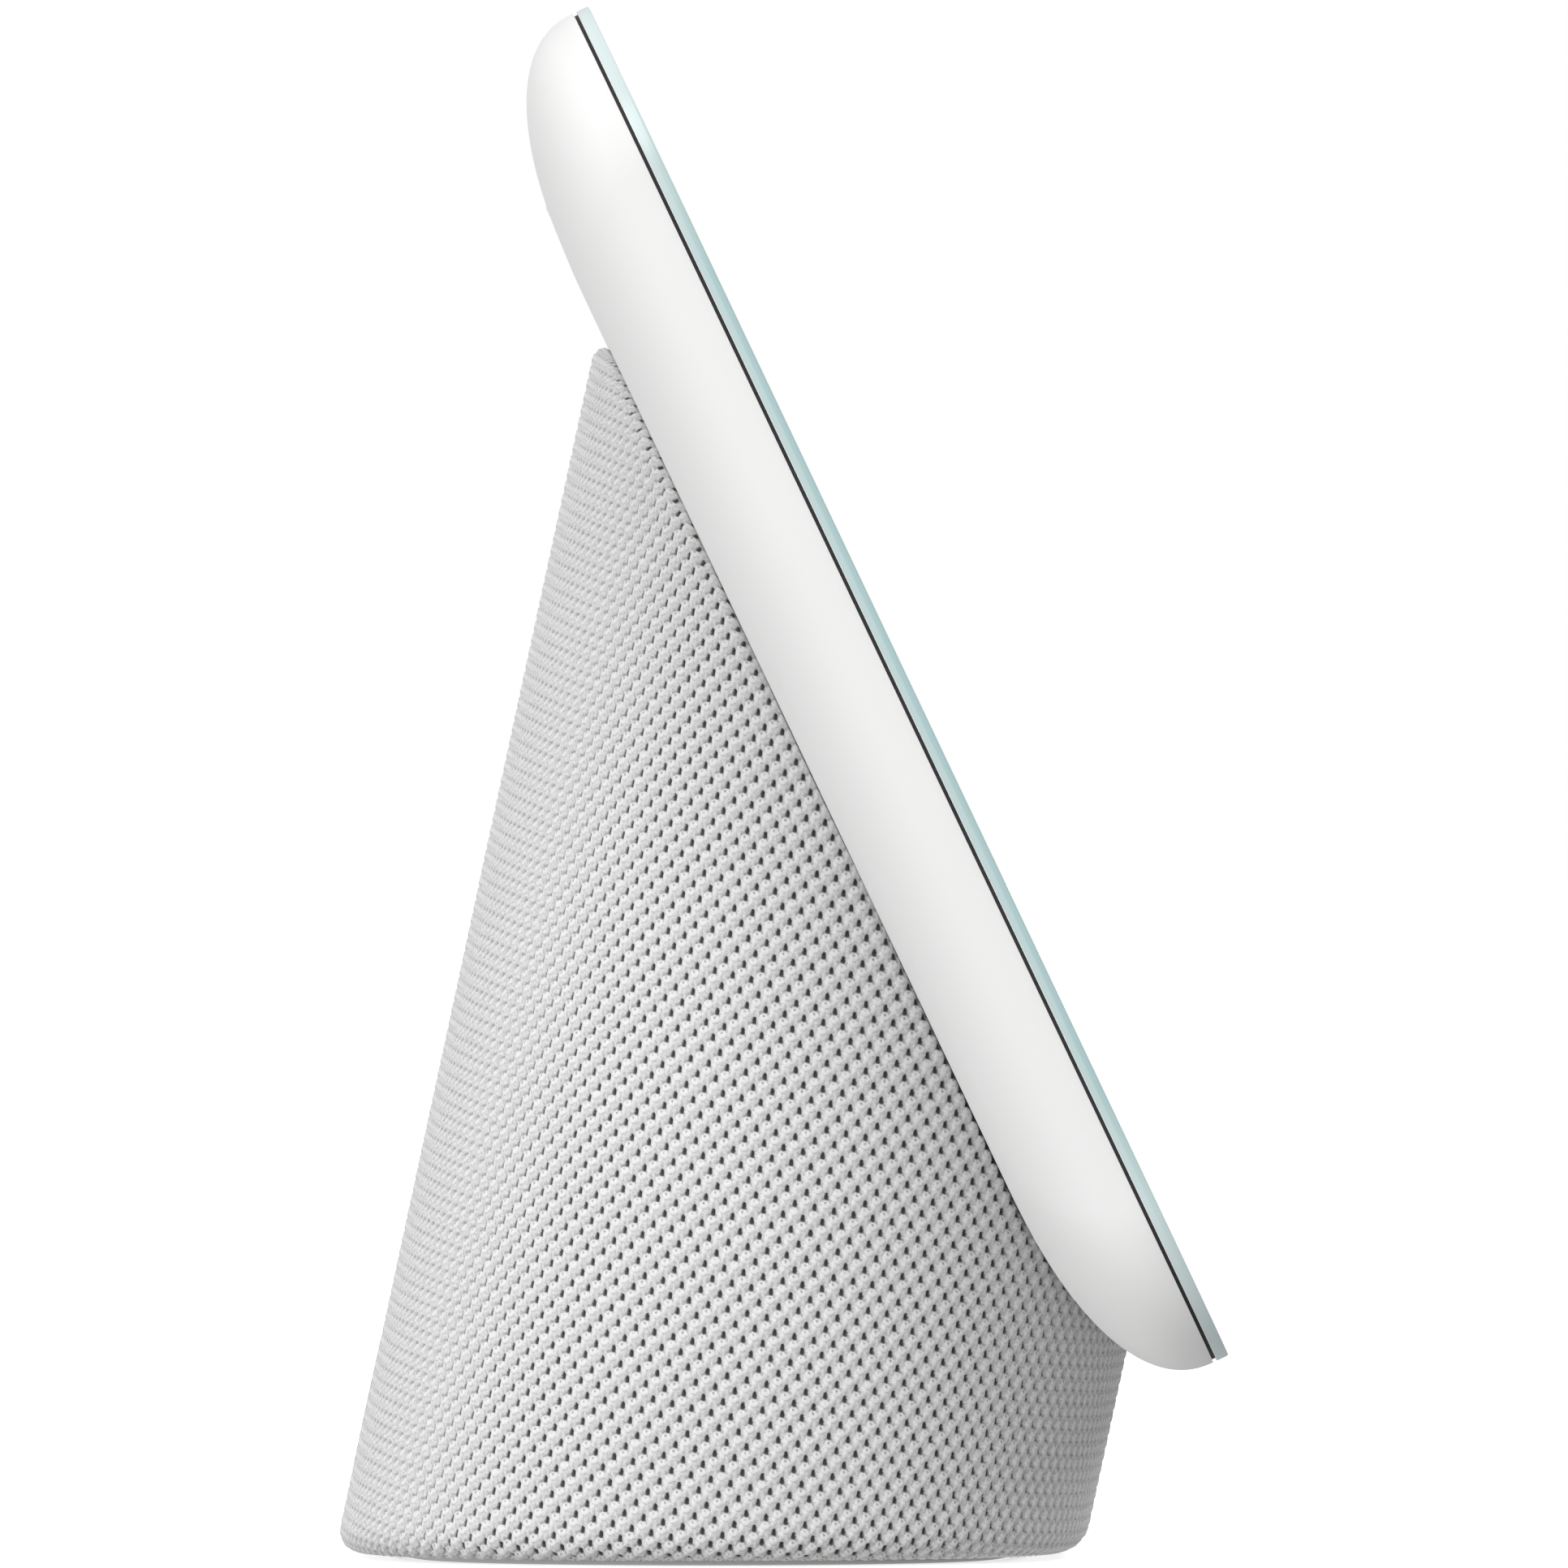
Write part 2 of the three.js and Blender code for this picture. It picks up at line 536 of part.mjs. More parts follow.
function buildInlet() {
  const group = onRearWall(INLET.height, 0);
  root.add(group);
  const { radius, trim, depth, pinRadius, body } = INLET;
  const mouth = -FABRIC.thickness - GAP;
  const blockFront = -(ENCLOSURE.inset + ENCLOSURE.wall + GAP);
  const blockBack = mouth - depth - 0.8;
  const block = box(body, body, blockFront - blockBack, 0, 0, (blockFront + blockBack) / 2);
  const bore = bar(radius, 0, 0, mouth - depth, 2, 20);
  const pin = bar(pinRadius, 0, 0, mouth - depth - 0.2, mouth - 1.6, 8);
  const neck = bar(radius + 1.4, 0, 0, blockFront - 1, mouth - GAP, 20);
  piece(group, 'dc_inlet', join(cut(join(block, neck), bore), pin), 'blackPlastic');
  piece(group, 'dc_inlet_ring', ring(radius + 0.1, radius + trim, mouth, 0.15, 20), 'foot');
  piece(group, 'power_board', box(30, 8, 1, 0, 0, blockBack - GAP - 0.5), 'board');
}

// A point given in the head's frame, with its depth behind the glass, in the part's frame.
function headPoint(x, up, depth) {
  return new THREE.Vector3(x, up, -depth).applyMatrix4(head.matrixWorld).toArray();
}

function buildInnerCables() {
  const { x, up } = CABLE_HOLE;
  const route = [
    [17, 13, 12], [24, 12, 15], [32, 8, 24], [x, 6, 40], [x, 3.5, 52],
    headPoint(x, up - 0.6, 16), headPoint(x, up, 12), headPoint(x, up, 8.8), headPoint(x, up + 2.4, 6.7),
    headPoint(x, up + 9, 6.5), headPoint(x, up + 15.6, 6.4),
  ];
  piece(root, 'head_cable', tube(route, 1.1, 6, 26), 'rubber');
  const lead = [[-14.6, 13, 26], [-18, 9, 22], [-18, 10, 16], [-14, 14, 13]];
  piece(root, 'speaker_lead', tube(lead, 0.8, 6, 8), 'rubber');
}

buildGlassAndScreen();
buildMidFrame();
buildElectronics();
buildNeckBracket();
buildRearHousing();
buildControls();
buildFabricSleeve();
buildEnclosure();
buildBaseBottom();
buildDriver();
buildInlet();
buildInnerCables();

export default root;
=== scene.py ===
"""Finishes a tabletop smart display: a thin tilted screen on a leaning, knit-covered speaker base.

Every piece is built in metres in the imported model's own frame: the front faces -Y, +X is the right side
seen from the front, +Z is up, and the foot stands on the floor at zero height.
"""
import json
import math

import bmesh
import bpy
import numpy as np
from bpy.props import FloatProperty, FloatVectorProperty, IntProperty, PointerProperty
from mathutils import Matrix, Vector


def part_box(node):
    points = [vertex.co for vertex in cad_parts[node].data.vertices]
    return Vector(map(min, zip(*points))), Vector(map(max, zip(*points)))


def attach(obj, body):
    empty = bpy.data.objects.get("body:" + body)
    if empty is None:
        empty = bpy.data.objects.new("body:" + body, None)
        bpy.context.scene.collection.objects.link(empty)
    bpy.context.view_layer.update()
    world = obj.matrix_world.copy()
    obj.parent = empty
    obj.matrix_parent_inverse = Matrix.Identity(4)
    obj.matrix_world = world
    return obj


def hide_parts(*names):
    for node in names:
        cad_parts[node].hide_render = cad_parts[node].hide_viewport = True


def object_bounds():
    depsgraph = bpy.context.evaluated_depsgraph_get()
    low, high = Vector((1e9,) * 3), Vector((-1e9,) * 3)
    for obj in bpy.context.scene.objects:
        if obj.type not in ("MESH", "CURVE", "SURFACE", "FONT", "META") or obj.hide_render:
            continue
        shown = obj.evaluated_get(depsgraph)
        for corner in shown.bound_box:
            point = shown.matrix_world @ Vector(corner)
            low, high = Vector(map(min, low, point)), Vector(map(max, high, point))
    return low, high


bl_info = {
    "name": "Smart display finish",
    "version": (1, 0, 0),
    "blender": (4, 5, 0),
    "location": "View3D > Sidebar > Smart display",
    "description": "Builds the screen, the moulded shell, the knit sleeve and the rear controls",
    "category": "Object",
}

MM = 0.001
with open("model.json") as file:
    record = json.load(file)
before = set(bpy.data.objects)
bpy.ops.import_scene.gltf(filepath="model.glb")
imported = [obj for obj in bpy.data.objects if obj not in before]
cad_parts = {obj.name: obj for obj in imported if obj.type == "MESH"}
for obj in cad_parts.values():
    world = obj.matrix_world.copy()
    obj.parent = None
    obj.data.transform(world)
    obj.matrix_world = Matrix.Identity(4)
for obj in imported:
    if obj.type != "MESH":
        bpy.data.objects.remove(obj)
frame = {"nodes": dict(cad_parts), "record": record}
cad_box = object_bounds()

# The head.
HEAD_TOP = 118 * MM
FRONT_SET_BACK = 0.06 * MM
EDGE_STEPS = 26
MIC_SWITCH = {"up": 43.4 * MM, "across": -1 * MM, "inner": -7.2 * MM, "outer": -9.35 * MM}
ROCKER = {"up": 14 * MM, "inset": 8 * MM, "length": 24.0 * MM, "width": 4.6 * MM}
SENSOR_ROW = {"up": 51.4 * MM, "port_up": 51.6 * MM, "port_across": 11 * MM}
BORDER = {"thickness": 0.04 * MM, "behind_glass": 0.025 * MM, "inset": 0.02 * MM}
SCREEN = {"thickness": 0.2 * MM, "behind_glass": 0.16 * MM, "past_window": 0.5 * MM}
GASKET = {"thickness": 0.32 * MM, "middle": -1.145 * MM, "inset": 0.25 * MM, "width": 3 * MM}
GLASS_GLOSS = {"Coat_Weight": 1.0, "Coat_Roughness": 0.04, "Coat_IOR": 1.5}

# The base. Profiles are pairs in millimetres.
HOLE_RISE = 0.85
SLEEVE_TOP = 98 * MM
MID_WALL = 30 * MM
SEARCH = (8 * MM, 96 * MM)
SEARCH_STEPS = 24
TUCK = {"length": 1.1 * MM, "slant": 0.06}
FOOT_PROFILE = ((5.9, 0.0), (5.55, 0.06), (5.36, 0.25), (5.3, 0.55), (5.3, 1.5))
FOOT_HOLLOW = ((9.5, 0.35), (9.5, 0.0))
FOOT_STEPS = 160
INLET = {"height": 11.5 * MM, "ring_radius": 5.3 * MM, "cut_radius": 4.9 * MM, "edge_depth": 0.25 * MM}
RING_PROFILE = ((3.4, -1.5), (5.3, -1.5), (5.3, -0.12), (5.2, 0.03), (5.0, 0.08), (3.8, 0.08),
                (3.5, 0.0), (3.4, -0.3), (3.4, -1.5))
PIN_PROFILE = ((0, -9.2), (0.9, -9.2), (0.9, -3.4), (0.7, -3.15), (0, -3.1))
BARREL_PROFILE = ((0, -9.9), (4.7, -9.9), (4.7, -1.8), (3.5, -1.8), (3.3, -2.0), (3.3, -9.3), (0, -9.3))

# The stage: each lamp's place, diameter, power in watts, and whether it shows in reflections.
LAMPS = {
    "key": ((-1.4, 0.1, 0.95), 1.0, 11.8, True),
    "rim": ((-0.75, 1.2, 0.5), 0.9, 3.6, True),
    "front": ((0.5, -1.1, 1.2), 0.8, 10.0, False),
}
AIM = (0, 0, 0.06)
AMBIENT = 0.58
AMBIENT_TOWARDS_REAR = 0.24


# Sizes and colours that a user would change.

class HeadSizes(bpy.types.PropertyGroup):
    tilt: FloatProperty(
        name="Tilt", description="How far the screen leans back from the vertical",
        default=math.radians(25.4), subtype="ANGLE")
    length: FloatProperty(
        name="Length", description="The head from its top edge to its bottom edge, along the glass",
        default=112.4 * MM, unit="LENGTH")
    corner_radius: FloatProperty(
        name="Corner radius", description="Radius of the head's corners seen from the front",
        default=13.5 * MM, unit="LENGTH")
    glass_thickness: FloatProperty(
        name="Glass", description="Thickness of the cover glass", default=0.97 * MM, unit="LENGTH")
    shell_front: FloatProperty(
        name="Shell rim", description="Depth of the shell's rim behind the front of the glass",
        default=1.31 * MM, unit="LENGTH")
    edge_start: FloatProperty(
        name="Edge start", description="Depth at which the shell's edge curve starts",
        default=1.22 * MM, unit="LENGTH")
    back: FloatProperty(
        name="Back", description="Depth of the shell's flat back", default=9.6 * MM, unit="LENGTH")
    edge_reach: FloatProperty(
        name="Edge reach", description="How far in from the outline the flat back starts",
        default=18 * MM, unit="LENGTH")
    edge_exponent: FloatProperty(
        name="Edge exponent", description="Exponent of the superellipse that rounds the edge", default=2.3)
    wall: FloatProperty(
        name="Wall", description="Thickness of the moulded shell", default=1.75 * MM, unit="LENGTH")
    side_bezel: FloatProperty(
        name="Side bezel", description="Width of the white border at the sides",
        default=12.5 * MM, unit="LENGTH")
    end_bezel: FloatProperty(
        name="End bezel", description="Width of the white border at the top and bottom",
        default=11.4 * MM, unit="LENGTH")


class BaseSizes(bpy.types.PropertyGroup):
    half_width: FloatProperty(
        name="Half width", description="Half the base's width", default=50 * MM, unit="LENGTH")
    half_depth: FloatProperty(
        name="Half depth", description="Half the base's depth", default=28.8 * MM, unit="LENGTH")
    side_exponent: FloatProperty(
        name="Side exponent", description="Exponent that flattens the base's long sides", default=3.4)
    lean: FloatProperty(
        name="Lean", description="Forward shift of the base for each unit of height", default=0.2158)
    rear_at_table: FloatProperty(
        name="Rear at table", description="Where the rear wall's line meets the table",
        default=34.34 * MM, unit="LENGTH")
    fabric_bottom: FloatProperty(
        name="Fabric bottom", description="Height of the sleeve's lowest point",
        default=0.45 * MM, unit="LENGTH")
    bottom_radius: FloatProperty(
        name="Bottom radius", description="Radius at which the sleeve turns under the base",
        default=1.9 * MM, unit="LENGTH")
    lip: FloatProperty(
        name="Lip", description="How far the sleeve reaches under the base", default=4.6 * MM, unit="LENGTH")


class KnitSizes(bpy.types.PropertyGroup):
    columns: IntProperty(
        name="Columns", description="Stitches round the sleeve", default=166)
    course: FloatProperty(
        name="Course", description="Height from one course of stitches to the next",
        default=1.004 * MM, unit="LENGTH")
    relief: FloatProperty(
        name="Relief", description="Height of a stitch over the valleys beside it",
        default=0.27 * MM, unit="LENGTH")
    hole_depth: FloatProperty(
        name="Hole depth", description="Depth of the holes between the stitches",
        default=0.36 * MM, unit="LENGTH")
    drift: FloatProperty(
        name="Drift", description="Sideways drift of the columns for each unit of height", default=0.058)
    bow: FloatProperty(
        name="Bow", description="How far the courses sag at the base's ends, as a share of its half width",
        default=0.045)
    edge_radius: FloatProperty(
        name="Edge radius", description="Radius of the sleeve's rolled upper edge at the base's ends",
        default=0.55 * MM, unit="LENGTH")


class FinishColours(bpy.types.PropertyGroup):
    shell: FloatVectorProperty(
        name="Shell", description="Moulded white plastic", subtype="COLOR", default=(0.86, 0.86, 0.855))
    yarn: FloatVectorProperty(
        name="Yarn", description="Pale grey knit yarn", subtype="COLOR", default=(0.95, 0.95, 0.948))
    hole: FloatVectorProperty(
        name="Hole", description="Shade inside the knit's holes", subtype="COLOR",
        default=(0.055, 0.055, 0.056))
    glass_edge: FloatVectorProperty(
        name="Glass edge", description="Ground edge of the cover glass", subtype="COLOR",
        default=(0.43, 0.6, 0.605))
    gasket: FloatVectorProperty(
        name="Gasket", description="Dark seal behind the glass", subtype="COLOR",
        default=(0.02, 0.02, 0.021))
    foot: FloatVectorProperty(
        name="Foot", description="Silicone foot", subtype="COLOR", default=(0.55, 0.55, 0.54))


class StageSizes(bpy.types.PropertyGroup):
    camera_distance: FloatProperty(
        name="Camera distance", description="From the camera to the middle of the object",
        default=3.0, unit="LENGTH")
    camera_height: FloatProperty(
        name="Camera height", description="Height of the camera over the floor",
        default=59.45 * MM, unit="LENGTH")
    lens: FloatProperty(
        name="Lens", description="Focal length of the camera in millimetres", default=892.0)


# Small helpers.

def settings():
    return bpy.context.scene.smart_display


def only(obj):
    """Makes obj the one selected and active object."""
    bpy.ops.object.select_all(action="DESELECT")
    obj.select_set(True)
    bpy.context.view_layer.objects.active = obj
    return obj


def new_piece(name):
    """Names the primitive that was added last."""
    obj = bpy.context.active_object
    obj.name = name
    obj.data.name = name
    return only(obj)


def edit(obj, mode):
    """Enters edit mode with nothing selected."""
    only(obj)
    bpy.ops.object.mode_set(mode="EDIT")
    bpy.ops.mesh.select_mode(type=mode)
    bpy.ops.mesh.select_all(action="DESELECT")


def leave_edit():
    bpy.ops.object.mode_set(mode="OBJECT")


def select_faces(obj, test):
    """Selects the faces that pass the test, in edit mode."""
    mesh = bmesh.from_edit_mesh(obj.data)
    for face in mesh.faces:
        face.select_set(bool(test(face)))
    mesh.select_flush_mode()
    bmesh.update_edit_mesh(obj.data)


def select_edges(obj, test):
    """Selects the edges that pass the test, in edit mode."""
    mesh = bmesh.from_edit_mesh(obj.data)
    for edge in mesh.edges:
        edge.select_set(bool(test(edge)))
    bmesh.update_edit_mesh(obj.data)


def apply_modifier(obj, kind, **values):
    only(obj)
    modifier = obj.modifiers.new(kind.title(), kind)
    for name, value in values.items():
        setattr(modifier, name, value)
    bpy.ops.object.modifier_apply(modifier=modifier.name)


def cut(obj, *cutters):
    """Takes the cutters away from obj and removes them."""
    for cutter in cutters:
        apply_modifier(obj, "BOOLEAN", operation="DIFFERENCE", object=cutter, solver="EXACT")
        bpy.data.objects.remove(cutter)


def smooth(obj, angle=math.radians(35)):
    only(obj)
    bpy.ops.object.shade_smooth_by_angle(angle=angle)


def block(name, size, middle):
    """A cuboid with its size in its mesh."""
    bpy.ops.mesh.primitive_cube_add(size=1, location=middle, scale=size)
    obj = new_piece(name)
    bpy.ops.object.transform_apply(location=True, rotation=True, scale=True)
    return obj


def upright(edge):
    along = (edge.verts[0].co - edge.verts[1].co).normalized()
    return abs(along.z) > 0.99


def slab(name, size, middle, radius, segments):
    """A flat plate with round corners, its thickness along Z."""
    obj = block(name, size, middle)
    edit(obj, "EDGE")
    select_edges(obj, upright)
    bpy.ops.mesh.bevel(offset=radius, offset_type="OFFSET", segments=segments, affect="EDGES")
    leave_edit()
    return obj


def turned(name, profile, segments):
    """A piece spun about Z from (radius, z) pairs in millimetres; a point on the axis closes an end."""
    bpy.ops.mesh.primitive_plane_add(size=1)
    obj = new_piece(name)
    edit(obj, "VERT")
    mesh = bmesh.from_edit_mesh(obj.data)
    bmesh.ops.delete(mesh, geom=mesh.verts[:], context="VERTS")
    verts = [mesh.verts.new((radius * MM, 0, z * MM)) for radius, z in profile]
    for a, b in zip(verts, verts[1:]):
        mesh.edges.new((a, b)).select_set(True)
    bmesh.update_edit_mesh(obj.data)
    bpy.ops.mesh.select_all(action="SELECT")
    bpy.ops.mesh.spin(steps=segments, angle=math.tau, center=(0, 0, 0), axis=(0, 0, 1))
    bpy.ops.mesh.select_all(action="SELECT")
    bpy.ops.mesh.remove_doubles(threshold=1e-6)
    bpy.ops.mesh.normals_make_consistent(inside=False)
    leave_edit()
    return obj


def place(obj, matrix):
    """Moves a piece that was built flat to its place, and keeps the place in its mesh."""
    obj.data.transform(matrix)


def finish_piece(obj, body, slot, material, *nodes):
    """Rides a finished piece on its body, paints it and hides the imported nodes that it replaces."""
    obj.data.materials.clear()
    for each in material if isinstance(material, (list, tuple)) else [material]:
        obj.data.materials.append(each)
    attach(obj, body)
    if nodes:
        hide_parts(*nodes)


def head_frame():
    """From the head's own frame, where X is its width, Y runs up the glass and Z comes out of it."""
    sizes = settings().head
    half = sizes.length / 2
    middle_y = cad_box[0].y + math.sin(sizes.tilt) * half - FRONT_SET_BACK
    middle_z = HEAD_TOP - math.cos(sizes.tilt) * half
    return Matrix.Translation((0, middle_y, middle_z)) @ Matrix.Rotation(math.pi / 2 - sizes.tilt, 4, "X")


def rear_wall_frame(height):
    """From a frame on the base's rear wall, where Z comes straight out of the wall."""
    sizes = settings().base
    out = Vector((0, 1, sizes.lean)).normalized()
    wall = Vector((0, sizes.rear_at_table - sizes.lean * height, height))
    return Matrix.Translation(wall) @ Matrix.Rotation(-math.acos(out.z), 4, "X")


# Materials.

class Field:
    """A shader socket that takes part in Python expressions."""

    def __init__(self, nodes, socket):
        self.nodes = nodes
        self.socket = socket

    def math(self, operation, *others):
        inputs = dict(enumerate((self, *others)))
        return self.nodes.node("ShaderNodeMath", inputs, operation=operation)

    def __add__(self, other):
        return self.math("ADD", other)

    __radd__ = __add__

    def __sub__(self, other):
        return self.math("SUBTRACT", other)

    def __rsub__(self, other):
        return self.nodes.node("ShaderNodeMath", {0: other, 1: self}, operation="SUBTRACT")

    def __mul__(self, other):
        return self.math("MULTIPLY", other)

    __rmul__ = __mul__

    def __truediv__(self, other):
        return self.math("DIVIDE", other)

    def __abs__(self):
        return self.math("ABSOLUTE")

    def clamped(self):
        return self.math("MAXIMUM", 0.0).math("MINIMUM", 1.0)


class Nodes:
    """A node tree to which nodes are added."""

    def __init__(self, tree):
        self.tree = tree

    def node(self, kind, inputs=None, output=0, **options):
        """Adds any node: its options first, then the values or links of its sockets."""
        made = self.tree.nodes.new(kind)
        for name, value in options.items():
            setattr(made, name, value)
        for socket, value in (inputs or {}).items():
            if isinstance(value, Field):
                self.tree.links.new(value.socket, made.inputs[socket])
            else:
                made.inputs[socket].default_value = value
        return Field(self, made.outputs[output])


class Shader(Nodes):
    """One material and its nodes."""

    def __init__(self, name, **constants):
        self.material = bpy.data.materials.new(name)
        self.material.use_nodes = True
        super().__init__(self.material.node_tree)
        self.surface = self.tree.nodes["Principled BSDF"]
        for socket, value in constants.items():
            self.surface.inputs[socket.replace("_", " ")].default_value = value

    def feed(self, socket, field):
        self.tree.links.new(field.socket, self.surface.inputs[socket])

    def position(self):
        return self.node("ShaderNodeTexCoord", output="Object")

    def along_axis(self, vector, axis):
        return self.node("ShaderNodeSeparateXYZ", {0: vector}, output=axis)

    def larger(self, one, other):
        return one.math("MAXIMUM", other)

    def noise(self, vector, scale, detail, roughness=0.55):
        values = {"Vector": vector, "Scale": scale, "Detail": detail, "Roughness": roughness}
        return self.node("ShaderNodeTexNoise", values, output="Fac")

    def dot(self, vector, direction):
        values = {0: vector, 1: tuple(direction)}
        return self.node("ShaderNodeVectorMath", values, output="Value", operation="DOT_PRODUCT")

    def mix(self, factor, low, high):
        values = {"Factor": factor, 6: (*low, 1) if isinstance(low, tuple) else low,
                  7: (*high, 1) if isinstance(high, tuple) else high}
        return self.node("ShaderNodeMix", values, output=2, data_type="RGBA")

    def bump(self, height, distance, strength):
        values = {"Height": height, "Distance": distance, "Strength": strength}
        return self.node("ShaderNodeBump", values)


def moulded(name, colour, roughness=0.42, grain=0.006, scale=9000.0, **constants):
    """Moulded plastic with a fine spark-eroded grain and a little unevenness in its gloss."""
    shader = Shader(name, **constants)
    where = shader.position()
    fine = shader.noise(where, scale, 2.0)
    broad = shader.noise(where, 60.0, 3.0)
    paler = tuple(min(1.0, value * 1.015) for value in colour)
    darker = tuple(value * 0.985 for value in colour)
    shader.feed("Base Color", shader.mix(broad, darker, paler))
    shader.feed("Roughness", roughness - 0.05 + 0.06 * broad + 0.04 * fine)
    shader.feed("Normal", shader.bump(fine, grain * MM, 0.6))
    return shader.material


def knit_material():
    """Open knit: full, rounded stitches in staggered courses, each under a narrow hole that widens
    downwards, with painted highlights and painted shade.
    """
    colours = settings().finish
    yarn = tuple(colours.yarn)
    shader = Shader("knit_yarn", Sheen_Weight=0.12, Sheen_Roughness=0.5, Specular_IOR_Level=0.2)
    uv = shader.node("ShaderNodeUVMap", uv_map="knit")
    fuzz = shader.noise(uv, 6.5, 5.0, 0.7)
    strands = shader.noise(uv, 15.0, 3.0, 0.75)
    slant = {"Vector": uv, "Rotation": (0, 0, 0.5), "Scale": (15.0, 4.5, 1.0)}
    drawn = shader.node("ShaderNodeMapping", slant)
    fibres = shader.noise(drawn, 1.0, 3.0, 0.7)
    clumps = shader.noise(uv, 0.9, 2.0)
    across = shader.along_axis(uv, 0) + (fuzz - 0.5) * 0.16
    along = shader.along_axis(uv, 1) + (strands - 0.5) * 0.2

    def nearest(shift_across, shift_along):
        """Steps to the nearest hole of the even or the odd courses."""
        beside = (across + (shift_across + 0.5)).math("FRACT") - 0.5
        above = ((along + (shift_along + 1.0 - HOLE_RISE)) * 0.5).math("FRACT") * 2.0 - 1.0
        return beside + above * 0.04, above

    def squared(value, width):
        share = value / width
        return share * share

    def distances(middle, radii):
        """Squared distances from the same place beside every hole, in units of the radii."""
        return [squared(beside - middle[0], radii[0]) + squared(above - middle[1], radii[1])
                for beside, above in places]

    def spots(middle, radii):
        """A soft spot at the same place beside every hole."""
        return shader.larger(*((1.0 - away).math("MAXIMUM", 0.0) for away in distances(middle, radii)))

    def outline(middle, radii):
        """A soft line round the same place beside every hole."""
        lines = (1.0 - abs(away - 1.0) * 2.2 for away in distances(middle, radii))
        return shader.larger(*(line.math("MAXIMUM", 0.0) for line in lines))

    def opening(beside, above):
        tall = squared(above, 0.30)
        return (1.35 - squared(beside, 0.115 - 0.11 * above) - tall * tall).clamped()

    places = [nearest(0.0, 0.0), nearest(0.5, 1.0)]
    holes = shader.larger(*(opening(beside, above) for beside, above in places))
    # Where the painted shade in each hole lightens: towards its lower, wider end.
    less_shade_low_in_hole = shader.larger(*((0.3 - above * 1.6) * opening(beside, above) for beside, above in places))
    # Painted highlights on the loops and legs and painted shade in the grooves, the dimples and the valleys
    # round the loops; the same pattern also raises the bump.
    loops = spots((-0.03, -0.6), (0.30, 0.42))
    leg_highlights = spots((0.37, 0.0), (0.15, 0.50)) + spots((0.26, -0.54), (0.14, 0.26)) * 0.8
    grooves = (spots((-0.22, -0.30), (0.16, 0.20)) * 0.28 + spots((0.02, 0.48), (0.11, 0.34)) * 0.2
               + spots((0.19, -0.31), (0.09, 0.18)) * 0.2)
    dimple_shade = spots((-0.04, -0.52), (0.075, 0.13)) * (0.35 + (clumps - 0.35) * 3.0).clamped()
    valleys = outline((-0.03, -0.58), (0.25, 0.40))
    painted_light_and_relief = 0.66 + loops * 0.45 + leg_highlights * 0.4 - grooves - dimple_shade * 1.1 - valleys * 0.3
    shade = (painted_light_and_relief + (fuzz - 0.5) * 1.2 + (strands - 0.5) * 0.8 + (fibres - 0.5) * 1.5).clamped()
    # The yarn's colour with the painted highlights and painted shade mixed in.
    shaded_wool = shader.mix(shade, tuple(value * 0.5 for value in yarn), yarn)
    # Painted shade inside the holes, a little lighter towards their lower, wider end.
    deep = tuple(colours.hole)
    inside = shader.mix(less_shade_low_in_hole.clamped(), deep, tuple(value * 2.2 for value in deep))
    shader.feed("Base Color", shader.mix(holes, shaded_wool, inside))
    shader.feed("Roughness", 0.82 + 0.14 * fuzz)
    height = painted_light_and_relief * 0.7 - holes + strands * 0.5 + fuzz * 0.5 + fibres * 0.7
    shader.feed("Normal", shader.bump(height, 0.14 * MM, 0.8))
    return shader.material


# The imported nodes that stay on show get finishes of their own.

def inner_finishes():
    return {
        "display_panel": moulded("display_panel", (0.012, 0.012, 0.014), 0.12, 0.001, 4000.0),
        "reflector_foil": moulded("reflector_foil", (0.8, 0.8, 0.78), 0.25, 0.01, 2500.0, Metallic=0.8),
        "aluminium_sheet": moulded("aluminium_sheet", (0.62, 0.63, 0.64), 0.36, 0.01, 3000.0, Metallic=1.0),
        "circuit_board": moulded("circuit_board", (0.03, 0.13, 0.06), 0.4, 0.02, 2200.0),
        "steel": moulded("steel", (0.56, 0.57, 0.58), 0.32, 0.008, 5000.0, Metallic=1.0),
        "copper": moulded("copper", (0.72, 0.38, 0.22), 0.34, 0.01, 4000.0, Metallic=1.0),
        "black_plastic": moulded("black_plastic", (0.02, 0.02, 0.022), 0.5, 0.01, 7000.0),
        "grey_rubber": moulded("grey_rubber", tuple(settings().finish.foot), 0.7, 0.012, 6000.0),
        "black_rubber": moulded("black_rubber", (0.02, 0.02, 0.021), 0.65, 0.012, 6000.0),
        "paper_cone": moulded("paper_cone", (0.03, 0.03, 0.033), 0.85, 0.05, 2600.0),
        "magnet": moulded("magnet", (0.06, 0.06, 0.065), 0.7, 0.03, 3200.0),
        "white_plastic": moulded("white_plastic", tuple(settings().finish.shell)),
        "black_gasket": moulded("black_gasket", tuple(settings().finish.gasket), 0.7, 0.01, 6000.0),
        "screen_glass": moulded("screen_glass", (0.6, 0.7, 0.7), 0.1, 0.001, 3000.0),
        "knit_fabric": moulded("knit_fabric", (0.7, 0.7, 0.7), 0.9, 0.05, 2500.0),
    }


class SMARTDISPLAY_OT_inner_parts(bpy.types.Operator):
    """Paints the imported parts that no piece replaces"""
    bl_idname = "smartdisplay.inner_parts"
    bl_label = "Inner parts"

    def execute(self, context):
        finishes = inner_finishes()
        slots = {row["node"]: row["material_slot"] for row in frame["record"]["subparts"]}
        for node, obj in frame["nodes"].items():
            obj.data.materials.clear()
            obj.data.materials.append(finishes[slots[node]])
        return {"FINISHED"}


# The head.

def head_side():
    """How far the head's side lies from the middle."""
    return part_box("cover_glass")[1].x


def head_width():
    low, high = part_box("cover_glass")
    return high.x - low.x


